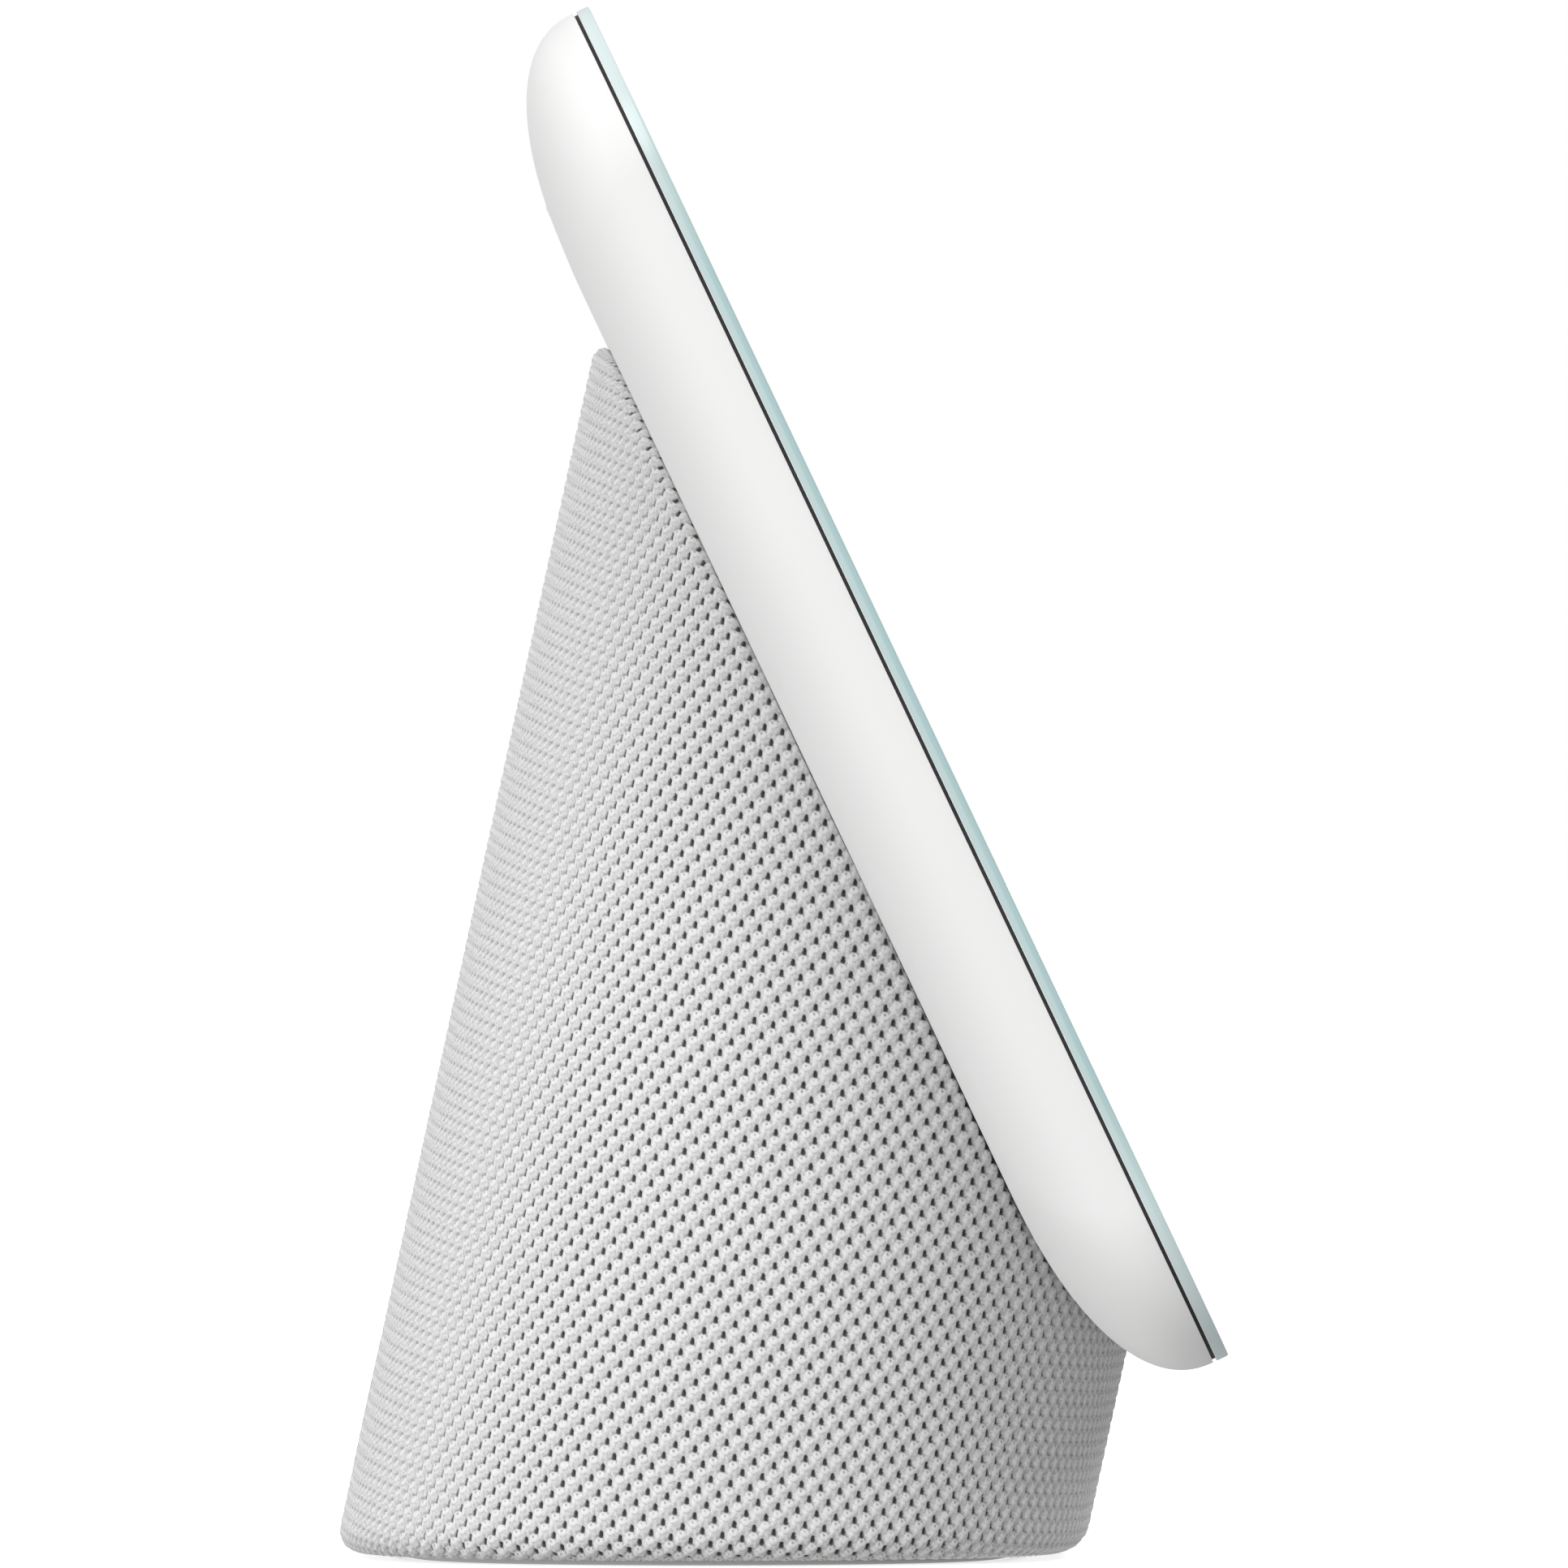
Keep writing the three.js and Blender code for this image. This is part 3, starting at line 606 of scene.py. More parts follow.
def edge_levels(count):
    """Steps round the shell's superellipse edge: how far in, and how deep."""
    sizes = settings().head
    power = 2 / sizes.edge_exponent
    for step in range(1, count + 1):
        turn = (step / count) * math.pi / 2
        inset = sizes.edge_reach * (1 - math.cos(turn) ** power)
        depth = sizes.edge_start + (sizes.back - sizes.edge_start) * math.sin(turn) ** power
        yield inset, depth


def outline_plate(name, width, length, radius, height, segments=20):
    """A face with the head's round-cornered outline."""
    bpy.ops.mesh.primitive_plane_add(size=1, location=(0, 0, height))
    obj = new_piece(name)
    bpy.ops.object.transform_apply(location=True, rotation=True, scale=True)
    obj.data.transform(Matrix.Diagonal((width, length, 1, 1)))
    edit(obj, "VERT")
    bpy.ops.mesh.select_all(action="SELECT")
    bpy.ops.mesh.bevel(offset=radius, offset_type="OFFSET", segments=segments, affect="VERTICES")
    leave_edit()
    return obj


class SMARTDISPLAY_OT_shell(bpy.types.Operator):
    """Moulds the white rear shell with its soft edge, the switch slot and the rocker pocket"""
    bl_idname = "smartdisplay.shell"
    bl_label = "Rear shell"

    def execute(self, context):
        sizes = settings().head
        width = head_width()
        shell = outline_plate("shell", width, sizes.length, sizes.corner_radius, -sizes.shell_front)
        edit(shell, "FACE")
        bpy.ops.mesh.select_all(action="SELECT")
        size = Vector((width, sizes.length))
        depth = sizes.shell_front
        for inset, deeper in edge_levels(EDGE_STEPS):
            if deeper <= depth:
                continue
            bpy.ops.mesh.extrude_region_move(TRANSFORM_OT_translate={"value": (0, 0, depth - deeper)})
            smaller = Vector((width - 2 * inset, sizes.length - 2 * inset))
            bpy.ops.transform.resize(value=(smaller.x / size.x, smaller.y / size.y, 1))
            size, depth = smaller, deeper
        bpy.ops.mesh.inset(thickness=0.6 * MM)
        select_faces(shell, lambda face: abs(face.normal.z) > 0.99 and
                     abs(face.calc_center_median().z + sizes.shell_front) < 1e-6)
        bpy.ops.mesh.delete(type="FACE")
        bpy.ops.mesh.select_all(action="SELECT")
        bpy.ops.mesh.normals_make_consistent(inside=False)
        leave_edit()
        apply_modifier(shell, "SOLIDIFY", thickness=sizes.wall, offset=-1, use_even_offset=True)
        slot = capsule("slot", 13.0 * MM, 4.4 * MM, -11 * MM, -6 * MM)
        place(slot, Matrix.Translation((0, MIC_SWITCH["up"], 0)))
        pocket = capsule("pocket", 24.7 * MM, 5.3 * MM, -2.7 * MM, 4 * MM)
        place(pocket, rocker_frame())
        cut(shell, slot, pocket)
        apply_modifier(shell, "BEVEL", width=0.04 * MM, segments=2, limit_method="ANGLE",
                       angle_limit=math.radians(38))
        smooth(shell, math.radians(32))
        place(shell, head_frame())
        plastic = moulded("shell_plastic", tuple(settings().finish.shell), 0.5, Specular_IOR_Level=0.35)
        finish_piece(shell, "root", "white_plastic", plastic, "rear_housing")
        return {"FINISHED"}


def capsule(name, length, width, low, high):
    """A bar with round ends along X. Its radius stays under half the width, where the ends would meet."""
    return slab(name, (length, width, high - low), (0, 0, (low + high) / 2), width * 0.48, 10)


def rocker_frame():
    """The frame of the volume rocker: Z comes out of the curved edge and X runs along the rocker."""
    sizes = settings().head
    reach, power = sizes.edge_reach, sizes.edge_exponent
    height = sizes.back - sizes.edge_start
    share = (reach - ROCKER["inset"]) / reach
    drop = (1 - share ** power) ** (1 / power)
    slope = (height / reach) * (share / drop) ** (power - 1)
    where = Vector((head_side() - ROCKER["inset"], ROCKER["up"], -(sizes.edge_start + height * drop)))
    turn = Matrix.Rotation(math.pi - math.atan(slope), 4, "Y") @ Matrix.Rotation(math.pi / 2, 4, "Z")
    return Matrix.Translation(where) @ turn


def ringed(obj, thickness):
    """Insets both flat faces of a plate and bridges them, which leaves a ring."""
    edit(obj, "FACE")
    select_faces(obj, lambda face: abs(face.normal.z) > 0.99)
    bpy.ops.mesh.inset(thickness=thickness)
    bpy.ops.mesh.delete(type="FACE")
    bpy.ops.mesh.select_mode(type="EDGE")
    select_edges(obj, lambda edge: edge.is_boundary)
    bpy.ops.mesh.bridge_edge_loops()
    bpy.ops.mesh.select_all(action="SELECT")
    bpy.ops.mesh.normals_make_consistent(inside=False)
    leave_edit()


class SMARTDISPLAY_OT_screen(bpy.types.Operator):
    """Makes the cover glass, its white border, the dark screen and the gasket"""
    bl_idname = "smartdisplay.screen"
    bl_label = "Screen"

    def execute(self, context):
        self.glass()
        self.border()
        self.screen()
        self.gasket()
        return {"FINISHED"}

    def glass(self):
        sizes = settings().head
        thick = sizes.glass_thickness
        size = (head_width(), sizes.length, thick)
        glass = slab("glass_sheet", size, (0, 0, -thick / 2), sizes.corner_radius, 20)
        edit(glass, "EDGE")
        select_edges(glass, lambda edge: not upright(edge) and edge.verts[0].co.z > -thick / 2)
        bpy.ops.mesh.bevel(offset=0.2 * MM, segments=3, affect="EDGES")
        leave_edit()
        ports = [turned("port", ((0, -2), (0.5, -2), (0.5, 1), (0, 1)), 16) for _ in range(2)]
        for port, side in zip(ports, (-1, 1)):
            place(port, Matrix.Translation((side * SENSOR_ROW["port_across"], SENSOR_ROW["port_up"], 0)))
        cut(glass, *ports)
        smooth(glass)
        finish_piece(glass, "root", "screen_glass", glass_materials(), "cover_glass")
        for face in glass.data.polygons:
            face.material_index = 0 if abs(face.normal.z) > 0.9 else 1
        place(glass, head_frame())

    def border(self):
        sizes = settings().head
        thick = sizes.glass_thickness
        inset = BORDER["inset"]
        size = (head_width() - 2 * inset, sizes.length - 2 * inset, BORDER["thickness"])
        middle = (0, 0, -thick - BORDER["behind_glass"])
        border = slab("white_border", size, middle, sizes.corner_radius - inset, 20)
        window = slab("window", (*self.window(), 1 * MM), (0, 0, -thick), 1.0 * MM, 4)
        sensor = turned("sensor_hole", ((0, -2), (1.1, -2), (1.1, 0), (0, 0)), 24)
        place(sensor, Matrix.Translation((0, SENSOR_ROW["up"], 0)))
        cut(border, window, sensor)
        ink = moulded("border_ink", (0.93, 0.93, 0.925), 0.5, **GLASS_GLOSS)
        finish_piece(border, "root", "white_plastic", ink)
        place(border, head_frame())

    def screen(self):
        width, length = self.window()
        past = 2 * SCREEN["past_window"]
        size = (width + past, length + past, SCREEN["thickness"])
        middle = (0, 0, -settings().head.glass_thickness - SCREEN["behind_glass"])
        screen = slab("screen_face", size, middle, 1.2 * MM, 4)
        finish_piece(screen, "root", "display_panel", screen_material())
        place(screen, head_frame())

    def gasket(self):
        sizes = settings().head
        inset = GASKET["inset"]
        size = (head_width() - 2 * inset, sizes.length - 2 * inset, GASKET["thickness"])
        gasket = slab("gasket", size, (0, 0, GASKET["middle"]), sizes.corner_radius - inset, 20)
        ringed(gasket, GASKET["width"])
        rubber = moulded("gasket_rubber", tuple(settings().finish.gasket), 0.7, 0.01, 6000.0)
        finish_piece(gasket, "root", "black_gasket", rubber, "glass_gasket")
        place(gasket, head_frame())

    def window(self):
        """Width and length of the opening in the white border."""
        sizes = settings().head
        return head_width() - 2 * sizes.side_bezel, sizes.length - 2 * sizes.end_bezel


def glass_materials():
    """Nearly clear glass for the faces, and frosted glass for the ground edge, with a painted highlight that
    makes it palest at its ends.

    The border and the screen carry the gloss of the glass that lies over them.
    """
    clear = Shader("clear_glass", Alpha=0.06, IOR=1.5)
    smear = clear.noise(clear.position(), 25.0, 4.0)
    clear.feed("Base Color", clear.mix(smear, (0.05, 0.055, 0.055), (0.06, 0.065, 0.065)))
    clear.feed("Roughness", 0.012 + 0.02 * smear)
    edge = tuple(settings().finish.glass_edge)
    ground = Shader("ground_glass_edge", Coat_Weight=0.15, Coat_Roughness=0.2, Specular_IOR_Level=0.5)
    where = ground.position()
    fine = ground.noise(where, 7000.0, 2.0)
    broad = ground.noise(where, 45.0, 2.0)
    into = head_frame().inverted()
    depth_mm = ground.dot(where, into[2][:3]) * -1000.0 - into[2][3] * 1000.0
    up_mm = ground.dot(where, into[1][:3]) * 1000.0 + into[1][3] * 1000.0
    paler = tuple(value + (1 - value) * 0.2 for value in edge)
    # The paler colour for both ends of the edge is a painted highlight.
    ends = tuple(value + (1 - value) * 0.5 for value in edge)
    rear = ((depth_mm - 0.42) * 6.0).clamped()
    # Painted highlight: the edge turns paler towards both ends.
    end_highlight = ((abs(up_mm) - 34.0) * 0.06).clamped()
    tint = ground.mix((rear + (broad - 0.5) * 0.8).clamped(), edge, paler)
    ground.feed("Base Color", ground.mix(end_highlight * 0.8, tint, ends))
    ground.feed("Roughness", 0.28 + 0.12 * fine)
    ground.feed("Normal", ground.bump(fine, 0.004 * MM, 0.5))
    return clear.material, ground.material


def screen_material():
    shader = Shader("dark_screen", Specular_IOR_Level=0.5, **GLASS_GLOSS)
    where = shader.position()
    faint = shader.noise(where, 40.0, 2.0)
    shader.feed("Base Color", shader.mix(faint, (0.004, 0.004, 0.005), (0.008, 0.008, 0.009)))
    shader.feed("Roughness", 0.16 + 0.05 * faint)
    return shader.material


class SMARTDISPLAY_OT_controls(bpy.types.Operator):
    """Makes the microphone switch's knob and the volume rocker"""
    bl_idname = "smartdisplay.controls"
    bl_label = "Rear controls"

    def execute(self, context):
        white = moulded("control_plastic", tuple(settings().finish.shell), 0.38)
        outer = MIC_SWITCH["outer"]
        knob = capsule("mic_knob", 9.6 * MM, 3.7 * MM, outer, MIC_SWITCH["inner"])
        edit(knob, "EDGE")
        select_edges(knob, lambda edge: not upright(edge) and edge.verts[0].co.z < -9 * MM)
        bpy.ops.mesh.bevel(offset=0.35 * MM, segments=4, affect="EDGES")
        leave_edit()
        grooves = [block("groove", (0.5 * MM, 2.4 * MM, 0.6 * MM), (x * MM, 0, outer))
                   for x in (-2.4, -1.2, 0, 1.2, 2.4)]
        cut(knob, *grooves)
        smooth(knob)
        place(knob, head_frame() @ Matrix.Translation((MIC_SWITCH["across"], MIC_SWITCH["up"], 0)))
        finish_piece(knob, "mic_switch", "white_plastic", white, "mic_switch")

        rocker = capsule("rocker", ROCKER["length"], ROCKER["width"], -1.5 * MM, 0.05 * MM)
        edit(rocker, "EDGE")
        select_edges(rocker, lambda edge: not upright(edge) and edge.verts[0].co.z > 0)
        bpy.ops.mesh.bevel(offset=0.45 * MM, segments=4, affect="EDGES")
        leave_edit()
        dent = slab("dent", (2.4 * MM, 8 * MM, 0.5 * MM), (0, 0, 0.15 * MM), 1.0 * MM, 6)
        cut(rocker, dent)
        smooth(rocker)
        place(rocker, head_frame() @ rocker_frame())
        finish_piece(rocker, "volume_rocker", "white_plastic", white, "volume_rocker")
        return {"FINISHED"}


# The base.

def base_outline(inset, places, count=6000):
    """Points on the base's outline at shares of the way round, from the middle of the rear, and normals."""
    sizes = settings().base
    angle = np.linspace(0, 2 * math.pi, count, endpoint=False) + math.pi / 2
    x = np.sign(np.cos(angle)) * np.abs(np.cos(angle)) ** (2 / sizes.side_exponent) * sizes.half_width
    y = np.sin(angle) * sizes.half_depth
    points = np.stack([x, y], 1)
    closed = np.vstack([points, points[:1]])
    run = np.concatenate([[0], np.cumsum(np.linalg.norm(np.diff(closed, axis=0), axis=1))])
    share = (np.asarray(places) % 1.0) * run[-1]
    x = np.interp(share, run, closed[:, 0])
    y = np.interp(share, run, closed[:, 1])
    step = run[-1] * 1e-3
    ahead = (share + step) % run[-1]
    behind = (share - step) % run[-1]
    dx = np.interp(ahead, run, closed[:, 0]) - np.interp(behind, run, closed[:, 0])
    dy = np.interp(ahead, run, closed[:, 1]) - np.interp(behind, run, closed[:, 1])
    size = np.hypot(dx, dy)
    normal = np.stack([dy / size, -dx / size], -1)
    return x - normal[..., 0] * inset, y - normal[..., 1] * inset, normal, run[-1]


def shell_clearance(points):
    """How far each point lies behind the shell's rear surface, in metres."""
    sizes = settings().head
    back = np.array(head_frame().inverted())
    local = points @ back[:3, :3].T + back[:3, 3]
    inset = np.clip(sizes.length / 2 - np.abs(local[..., 1]), 0, sizes.edge_reach)
    share = (sizes.edge_reach - inset) / sizes.edge_reach
    power = sizes.edge_exponent
    depth = sizes.edge_start + (sizes.back - sizes.edge_start) * (1 - share ** power) ** (1 / power)
    outside = np.abs(local[..., 1]) > sizes.length / 2
    return np.where(outside, 0.1, -local[..., 2] - depth)


def sleeve_point(share, height):
    """Points of the smooth sleeve: height runs up the wall, and below the bottom edge it runs underneath."""
    sizes = settings().base
    radius = sizes.bottom_radius
    start = sizes.fabric_bottom + radius
    below = np.maximum(start - height, 0)
    turn = np.minimum(below / radius, math.pi / 2)
    under = np.maximum(below - radius * math.pi / 2, 0)
    inset = radius * (1 - np.cos(turn)) + under
    z = np.where(height >= start, height, start - radius * np.sin(turn))
    x, y, normal, _ = base_outline(0.0, share)
    x = x - normal[..., 0] * inset
    y = y - normal[..., 1] * inset
    y = y + sizes.rear_at_table - sizes.half_depth - sizes.lean * z
    return np.stack([x, y, z], -1)


def knit_relief(across, along):
    """How high the stitches and how deep the holes are at a place counted in columns and courses."""
    def near(shift_across, shift_along):
        beside = (across + shift_across + 0.5) % 1.0 - 0.5
        above = ((along + shift_along + 1.0) / 2) % 1.0 * 2 - 1.0
        return beside, above

    ridge = np.cos((along - 2 * across) * math.pi) * 0.5 + 0.5
    high = 0.55 * ridge ** 2
    low = np.zeros_like(across)
    for shift_across, shift_along in ((0.0, 0.0), (0.5, 1.0)):
        beside, above = near(shift_across, shift_along)
        width = 0.36 + 0.10 * above
        dome = np.sqrt(np.clip(1 - (beside / width) ** 2 - (above / 0.70) ** 2, 0, 1))
        high = np.maximum(high, dome)
        beside, above = near(shift_across, shift_along - HOLE_RISE)
        pit = np.clip(1.2 - (beside / 0.17) ** 2 - (above / 0.42) ** 2, 0, 1)
        low = np.maximum(low, pit)
    return high, low


def grid_triangles(rows, columns):
    """Triangles of a closed band of points, whose diagonals all meet at every second point."""
    index = np.arange(rows * columns).reshape(rows, columns)
    a, b = index[:-1], np.roll(index, -1, axis=1)[:-1]
    d, c = index[1:], np.roll(index, -1, axis=1)[1:]
    even = (np.arange(rows - 1)[:, None] + np.arange(columns)[None, :]) % 2 == 0
    rising = np.stack([a, b, c, a, c, d], -1)
    falling = np.stack([a, b, d, b, c, d], -1)
    return np.where(even[..., None], rising, falling).reshape(-1, 3)


class SMARTDISPLAY_OT_knit_sleeve(bpy.types.Operator):
    """Knits the sleeve: one sheet stretched over the base, tucked under it and rolled in at the shell"""
    bl_idname = "smartdisplay.knit_sleeve"
    bl_label = "Knit sleeve"

    def execute(self, context):
        sizes, knit = settings().base, settings().knit
        per_course = 2
        around_count = knit.columns * 4
        share = np.arange(around_count) / around_count
        cosine = 1 / math.sqrt(1 + sizes.lean ** 2)
        sine = sizes.lean * cosine
        turned_under = sizes.lip - sizes.bottom_radius
        lowest = sizes.fabric_bottom + sizes.bottom_radius * (1 - math.pi / 2) - turned_under
        x, y, _, perimeter = base_outline(0.0, share)
        slant = sine * sizes.half_depth / knit.course
        first = math.floor(lowest * cosine / knit.course - slant) - 1
        last = math.ceil(SLEEVE_TOP / knit.course + slant) + 4
        steps = np.arange(first * per_course, last * per_course + 1)
        course = (steps / per_course - (1 - HOLE_RISE))[:, None]
        sag = knit.bow * x ** 2 / sizes.half_width
        height = (course * knit.course + (sine * y - sag)[None, :]) * cosine
        turn = 2 * math.pi * share
        sway = knit.drift * (np.sin(turn) - 0.26 * np.sin(2 * turn))
        around = share[None, :] - sway[None, :] * height / perimeter

        shell_back = np.array(head_frame().to_3x3() @ Vector((0, 0, -1)))
        top, tuck, radius = self.upper_edge(around, shell_back)
        roll = radius * math.pi / 2
        highest = top + roll + TUCK["length"]
        outside = (height > highest) | (height < lowest)
        height = np.clip(height, lowest, highest)
        points = sleeve_point(around, np.minimum(height, top))
        normals = self.normals(around, np.minimum(height, top))
        along_wall = np.array([0, -sine, cosine])
        beyond = np.maximum(height - top, 0)[..., None]
        radius, roll = radius[..., None], roll[..., None]
        bend = np.minimum(beyond / radius, math.pi / 2)
        points += radius * (np.sin(bend) * along_wall - (1 - np.cos(bend)) * normals)
        points += np.maximum(beyond - roll, 0) * (tuck - TUCK["slant"] * shell_back)
        facing = np.cos(bend) * normals + np.sin(bend) * along_wall

        across = np.broadcast_to(share[None, :] * knit.columns, height.shape)
        along = np.broadcast_to(course, height.shape)
        high, low = knit_relief(across, along)
        lift = (high - 0.7) * knit.relief - low * knit.hole_depth
        hidden = np.clip((beyond / roll - 0.35) / 0.65, 0, 1)[..., 0]
        points += facing * (lift * (1 - hidden))[..., None]
        points, opening = self.inlet_opening(points)
        sleeve = self.sheet_mesh(points, across, along, outside | opening)
        only(sleeve)
        bpy.ops.object.shade_smooth()
        finish_piece(sleeve, "root", "knit_fabric", knit_material(), "fabric_sleeve")
        spans = height.max(axis=0) - height.min(axis=0)
        float(spans.mean()) * perimeter
        return {"FINISHED"}

    def inlet_opening(self, points):
        """Cuts the round opening for the inlet and tucks its edge under the trim ring."""
        wall = rear_wall_frame(INLET["height"])
        back = np.array(wall.inverted())
        flat = points @ back[:3, :3].T + back[:3, 3]
        distance = np.maximum(np.hypot(flat[..., 0], flat[..., 1]), 1e-6)
        near = np.abs(flat[..., 2]) < INLET["ring_radius"]
        opening = near & (distance < INLET["cut_radius"])
        spread = np.where(opening, INLET["cut_radius"] / distance, 1.0)
        flat[..., :2] *= spread[..., None]
        tucked = near & (distance < INLET["ring_radius"])
        flat[..., 2] = np.where(tucked, np.minimum(flat[..., 2], -INLET["edge_depth"]), flat[..., 2])
        forth = np.array(wall)
        return flat @ forth[:3, :3].T + forth[:3, 3], opening

    def upper_edge(self, around, shell_back):
        """Where each column starts to roll in, the way it then tucks, and the roll's radius."""
        knit = settings().knit
        wall_up = np.array([0, -settings().base.lean, 1]) / math.hypot(1, settings().base.lean)
        normals = self.normals(around, np.full(around.shape, MID_WALL))
        facing = normals @ shell_back
        radius = knit.edge_radius * (1 + 1.1 * np.maximum(facing, 0))
        bend = np.linspace(0, math.pi / 2, 19)
        closer = -float(wall_up @ shell_back) * np.sin(bend) + facing[..., None] * (1 - np.cos(bend))
        needed = radius * closer.max(axis=-1)
        low = np.full(around.shape, SEARCH[0])
        high = np.full(around.shape, SEARCH[1])
        for _ in range(SEARCH_STEPS):
            middle = (low + high) / 2
            clear = shell_clearance(sleeve_point(around, middle)) > needed
            low = np.where(clear, middle, low)
            high = np.where(clear, high, middle)
        tuck = facing[..., None] * shell_back - normals
        return low, tuck / np.linalg.norm(tuck, axis=-1, keepdims=True), radius

    def normals(self, around, height):
        """Outward normals of the smooth sleeve."""
        step_round, step_up = 1e-4, 0.05 * MM
        east = sleeve_point(around + step_round, height) - sleeve_point(around - step_round, height)
        north = sleeve_point(around, height + step_up) - sleeve_point(around, height - step_up)
        normal = np.cross(east, north)
        return normal / np.linalg.norm(normal, axis=-1, keepdims=True)

    def sheet_mesh(self, points, across, along, outside):
        """Joins the points that are not outside, with the knit's own count of columns and courses as UV."""
        columns = settings().knit.columns
        triangles = grid_triangles(*outside.shape)
        triangles = triangles[~outside.reshape(-1)[triangles].all(axis=1)]
        mesh = bpy.data.meshes.new("knit_sleeve")
        mesh.from_pydata(points.reshape(-1, 3).tolist(), [], triangles.tolist())
        corners = np.stack([across.reshape(-1)[triangles], along.reshape(-1)[triangles]], -1)
        wraps = np.ptp(corners[:, :, 0], axis=1) > columns / 2
        corners[wraps, :, 0] += np.where(corners[wraps, :, 0] < columns / 2, columns, 0)
        mesh.uv_layers.new(name="knit").data.foreach_set("uv", corners.reshape(-1).astype(np.float32))
        sleeve = bpy.data.objects.new("knit_sleeve", mesh)
        bpy.context.scene.collection.objects.link(sleeve)
        edit(sleeve, "VERT")
        bpy.ops.mesh.select_all(action="SELECT")
        bpy.ops.mesh.remove_doubles(threshold=0.02 * MM)
        bpy.ops.mesh.dissolve_degenerate(threshold=0.01 * MM)
        bpy.ops.mesh.delete_loose()
        leave_edit()
        return sleeve


class SMARTDISPLAY_OT_base_fittings(bpy.types.Operator):
    """Makes the foot and the power inlet with its trim ring"""
    bl_idname = "smartdisplay.base_fittings"
    bl_label = "Foot and inlet"

    def execute(self, context):
        self.foot()
        self.inlet()
        return {"FINISHED"}

    def foot(self):
        sizes = settings().base
        share = np.arange(FOOT_STEPS) / FOOT_STEPS
        middle = sizes.rear_at_table - sizes.half_depth
        rings = []
        for inset, z in (*FOOT_HOLLOW, *FOOT_PROFILE):
            x, y, _, _ = base_outline(inset * MM, share)
            rings.append(np.stack([x, y + middle, np.full(FOOT_STEPS, z * MM)], 1))
        points = np.concatenate(rings)
        loops = np.arange(len(points)).reshape(-1, FOOT_STEPS)
        faces = [loops[0][::-1].tolist()]
        for lower, upper in zip(loops, loops[1:]):
            faces += np.stack([lower, np.roll(lower, -1), np.roll(upper, -1), upper], 1).tolist()
        faces.append(loops[-1].tolist())
        mesh = bpy.data.meshes.new("foot_pad")
        mesh.from_pydata(points.tolist(), [], faces)
        foot = bpy.data.objects.new("foot_pad", mesh)
        bpy.context.scene.collection.objects.link(foot)
        edit(foot, "FACE")
        bpy.ops.mesh.select_all(action="SELECT")
        bpy.ops.mesh.normals_make_consistent(inside=False)
        leave_edit()
        smooth(foot)
        silicone = moulded("foot_silicone", tuple(settings().finish.foot), 0.7, 0.02, 5000.0)
        finish_piece(foot, "root", "grey_rubber", silicone, "rubber_foot")

    def inlet(self):
        trim = moulded("inlet_trim", tuple(settings().finish.foot), 0.5)
        steel = moulded("inlet_steel", (0.56, 0.57, 0.58), 0.35, Metallic=1.0)
        black = moulded("inlet_black_plastic", (0.02, 0.02, 0.022), 0.35)
        for name, profile, segments, slot, material, nodes in (
                ("inlet_ring", RING_PROFILE, 64, "grey_rubber", trim, ["dc_inlet_ring"]),
                ("inlet_socket", PIN_PROFILE, 32, "steel", steel, []),
                ("inlet_barrel", BARREL_PROFILE, 64, "black_plastic", black, ["dc_inlet"])):
            piece = turned(name, profile, segments)
            smooth(piece)
            place(piece, rear_wall_frame(INLET["height"]))
            finish_piece(piece, "root", slot, material, *nodes)


# Stage.

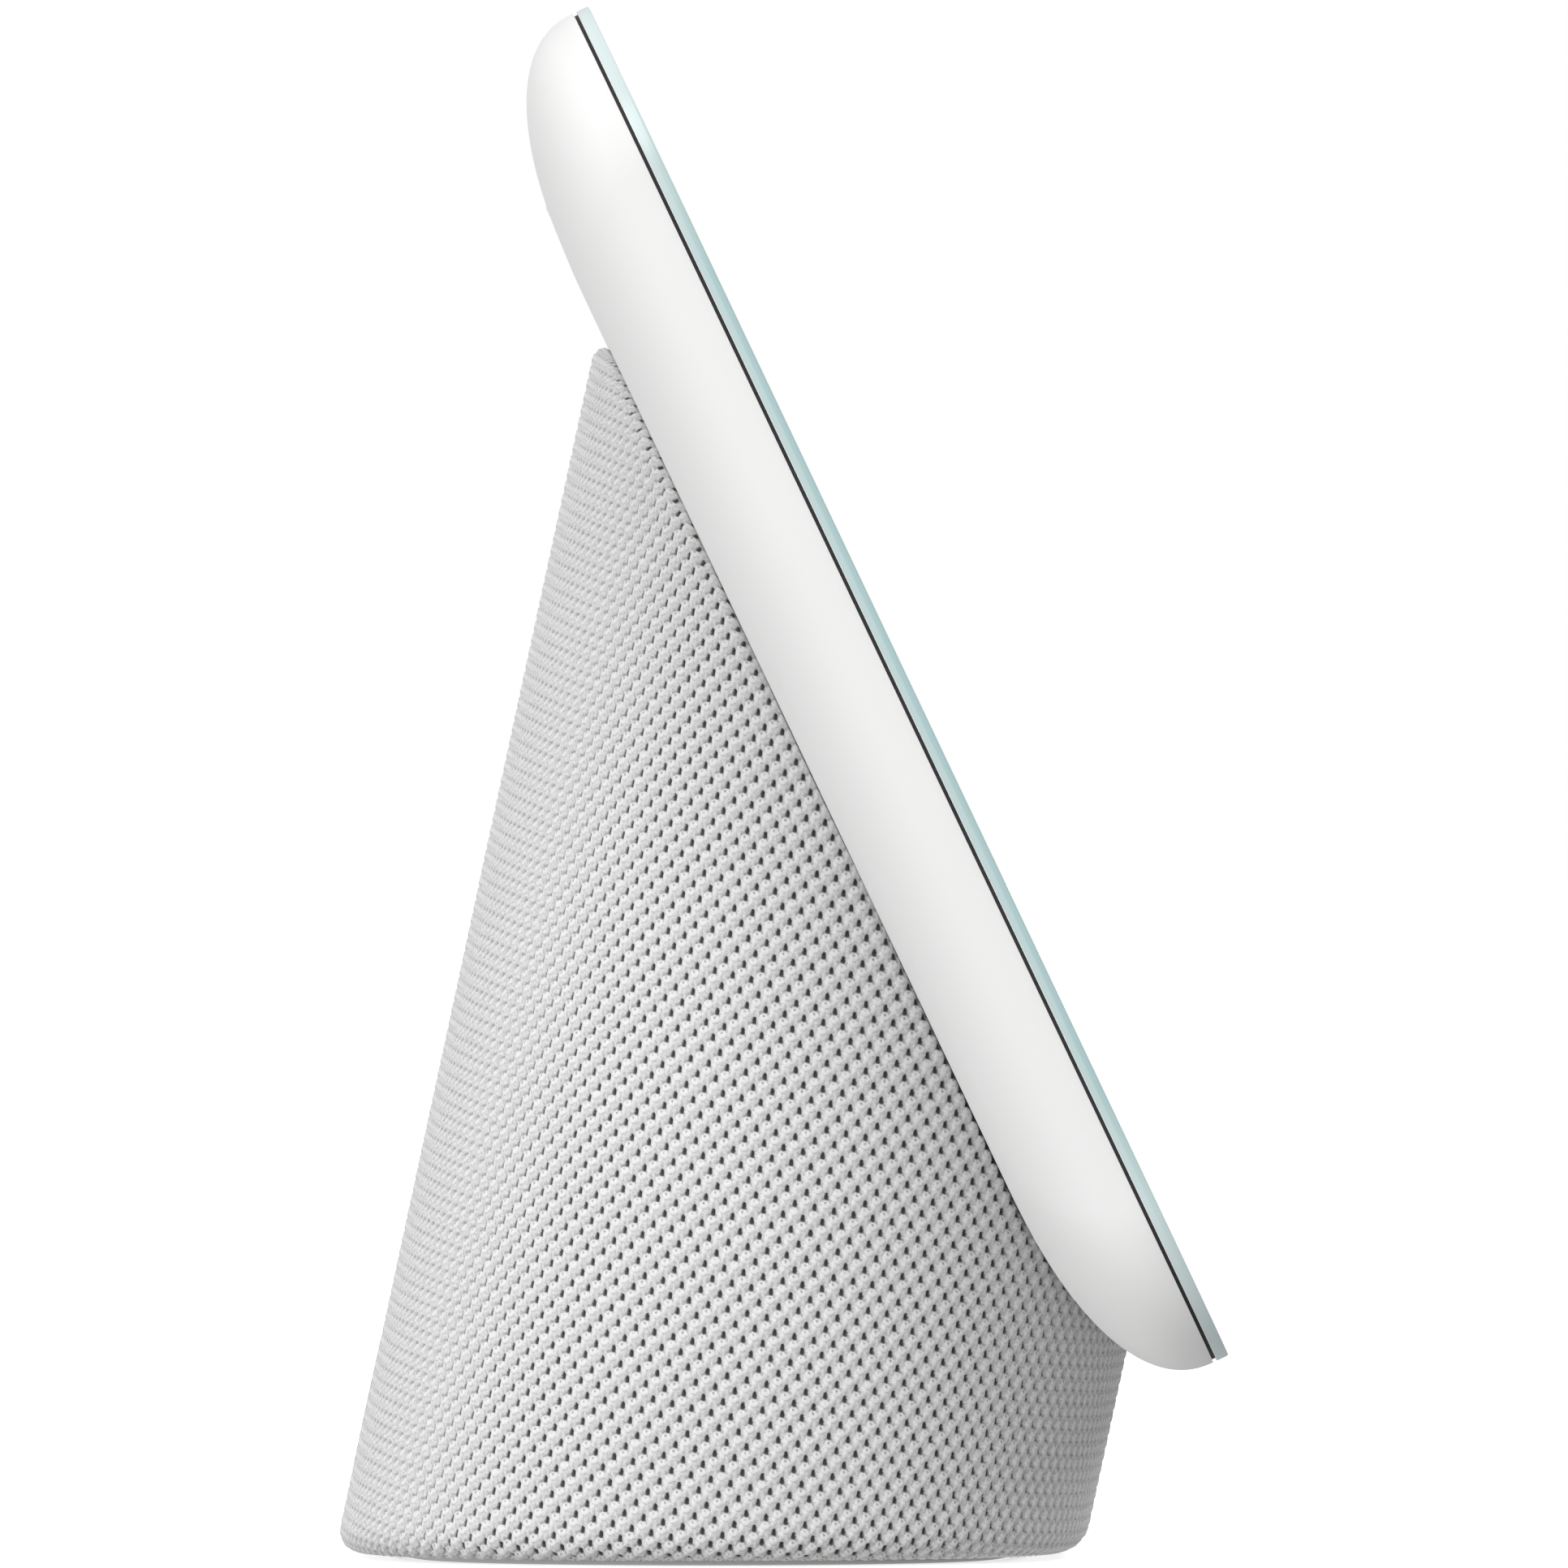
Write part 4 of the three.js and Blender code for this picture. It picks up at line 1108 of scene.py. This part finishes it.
class SMARTDISPLAY_OT_stage(bpy.types.Operator):
    """Sets up the camera, the floor and the soft light"""
    bl_idname = "smartdisplay.stage"
    bl_label = "Stage"

    def execute(self, context):
        sizes = settings().stage
        scene = context.scene
        camera = bpy.data.cameras.new("camera")
        camera.lens = sizes.lens
        camera.sensor_width = 36
        camera.clip_end = 100
        eye = bpy.data.objects.new("camera", camera)
        eye.location = (-sizes.camera_distance, -0.3 * MM, sizes.camera_height)
        eye.rotation_euler = (math.pi / 2, 0, -math.pi / 2)
        scene.collection.objects.link(eye)
        scene.camera = eye

        bpy.ops.mesh.primitive_plane_add(size=40, location=(0, 0, -0.02 * MM))
        floor = new_piece("floor")
        paper = Shader("floor_paper", Roughness=0.9, Specular_IOR_Level=0.1)
        tone = paper.noise(paper.position(), 3.0, 2.0)
        paper.feed("Base Color", paper.mix(tone, (0.9, 0.9, 0.9), (0.92, 0.92, 0.92)))
        paper.surface.inputs["Emission Color"].default_value = (1, 1, 1, 1)
        paper.surface.inputs["Emission Strength"].default_value = 0.6
        floor.data.materials.append(paper.material)
        floor.visible_diffuse = False
        floor.visible_glossy = False

        for name, (where, diameter, power, glossy) in LAMPS.items():
            self.light(name, where, diameter, power).visible_glossy = glossy
        world = bpy.data.worlds.new("studio")
        scene.world = world
        world.use_nodes = True
        self.sky(world.node_tree)
        scene.view_settings.view_transform = "Standard"
        return {"FINISHED"}

    def light(self, name, where, diameter, power):
        lamp = bpy.data.lights.new(name, "AREA")
        lamp.shape = "DISK"
        lamp.size = diameter
        lamp.energy = power
        obj = bpy.data.objects.new(name, lamp)
        obj.location = where
        aim = Vector(AIM) - Vector(where)
        obj.rotation_euler = aim.to_track_quat("-Z", "Y").to_euler()
        bpy.context.scene.collection.objects.link(obj)
        return obj

    def sky(self, tree):
        """An even white surround, dimmer as a light than as a backdrop, and dimmest in front."""
        tree.nodes.clear()
        nodes = Nodes(tree)
        white = (1, 1, 1, 1)
        direction = nodes.node("ShaderNodeTexCoord", output="Generated")
        towards_rear = nodes.node("ShaderNodeVectorMath", {0: direction, 1: (0, AMBIENT_TOWARDS_REAR, 0)},
                                  output="Value", operation="DOT_PRODUCT")
        light = nodes.node("ShaderNodeBackground", {"Color": white, "Strength": towards_rear + AMBIENT})
        backdrop = nodes.node("ShaderNodeBackground", {"Color": white})
        seen = nodes.node("ShaderNodeLightPath", output="Is Camera Ray")
        mixed = nodes.node("ShaderNodeMixShader", {0: seen, 1: light, 2: backdrop})
        output = tree.nodes.new("ShaderNodeOutputWorld")
        tree.links.new(mixed.socket, output.inputs["Surface"])


class SmartDisplaySettings(bpy.types.PropertyGroup):
    head: PointerProperty(type=HeadSizes)
    base: PointerProperty(type=BaseSizes)
    knit: PointerProperty(type=KnitSizes)
    finish: PointerProperty(type=FinishColours)
    stage: PointerProperty(type=StageSizes)


class SMARTDISPLAY_PT_panel(bpy.types.Panel):
    """Lists the steps in the sidebar"""
    bl_label = "Smart display"
    bl_idname = "SMARTDISPLAY_PT_panel"
    bl_space_type = "VIEW_3D"
    bl_region_type = "UI"
    bl_category = "Smart display"

    def draw(self, context):
        for step in STEPS:
            self.layout.operator(step.bl_idname)


STEPS = (
    SMARTDISPLAY_OT_stage,
    SMARTDISPLAY_OT_inner_parts,
    SMARTDISPLAY_OT_shell,
    SMARTDISPLAY_OT_screen,
    SMARTDISPLAY_OT_controls,
    SMARTDISPLAY_OT_knit_sleeve,
    SMARTDISPLAY_OT_base_fittings,
)
CLASSES = (
    HeadSizes, BaseSizes, KnitSizes, FinishColours, StageSizes, SmartDisplaySettings,
    *STEPS, SMARTDISPLAY_PT_panel,
)


def register():
    for each in CLASSES:
        bpy.utils.register_class(each)
    bpy.types.Scene.smart_display = PointerProperty(type=SmartDisplaySettings)


def unregister():
    del bpy.types.Scene.smart_display
    for each in reversed(CLASSES):
        bpy.utils.unregister_class(each)


def main():
    register()
    bpy.ops.object.select_all(action="DESELECT")
    for step in STEPS:
        group, name = step.bl_idname.split(".")
        getattr(getattr(bpy.ops, group), name)()


if __name__ == "__main__":
    main()
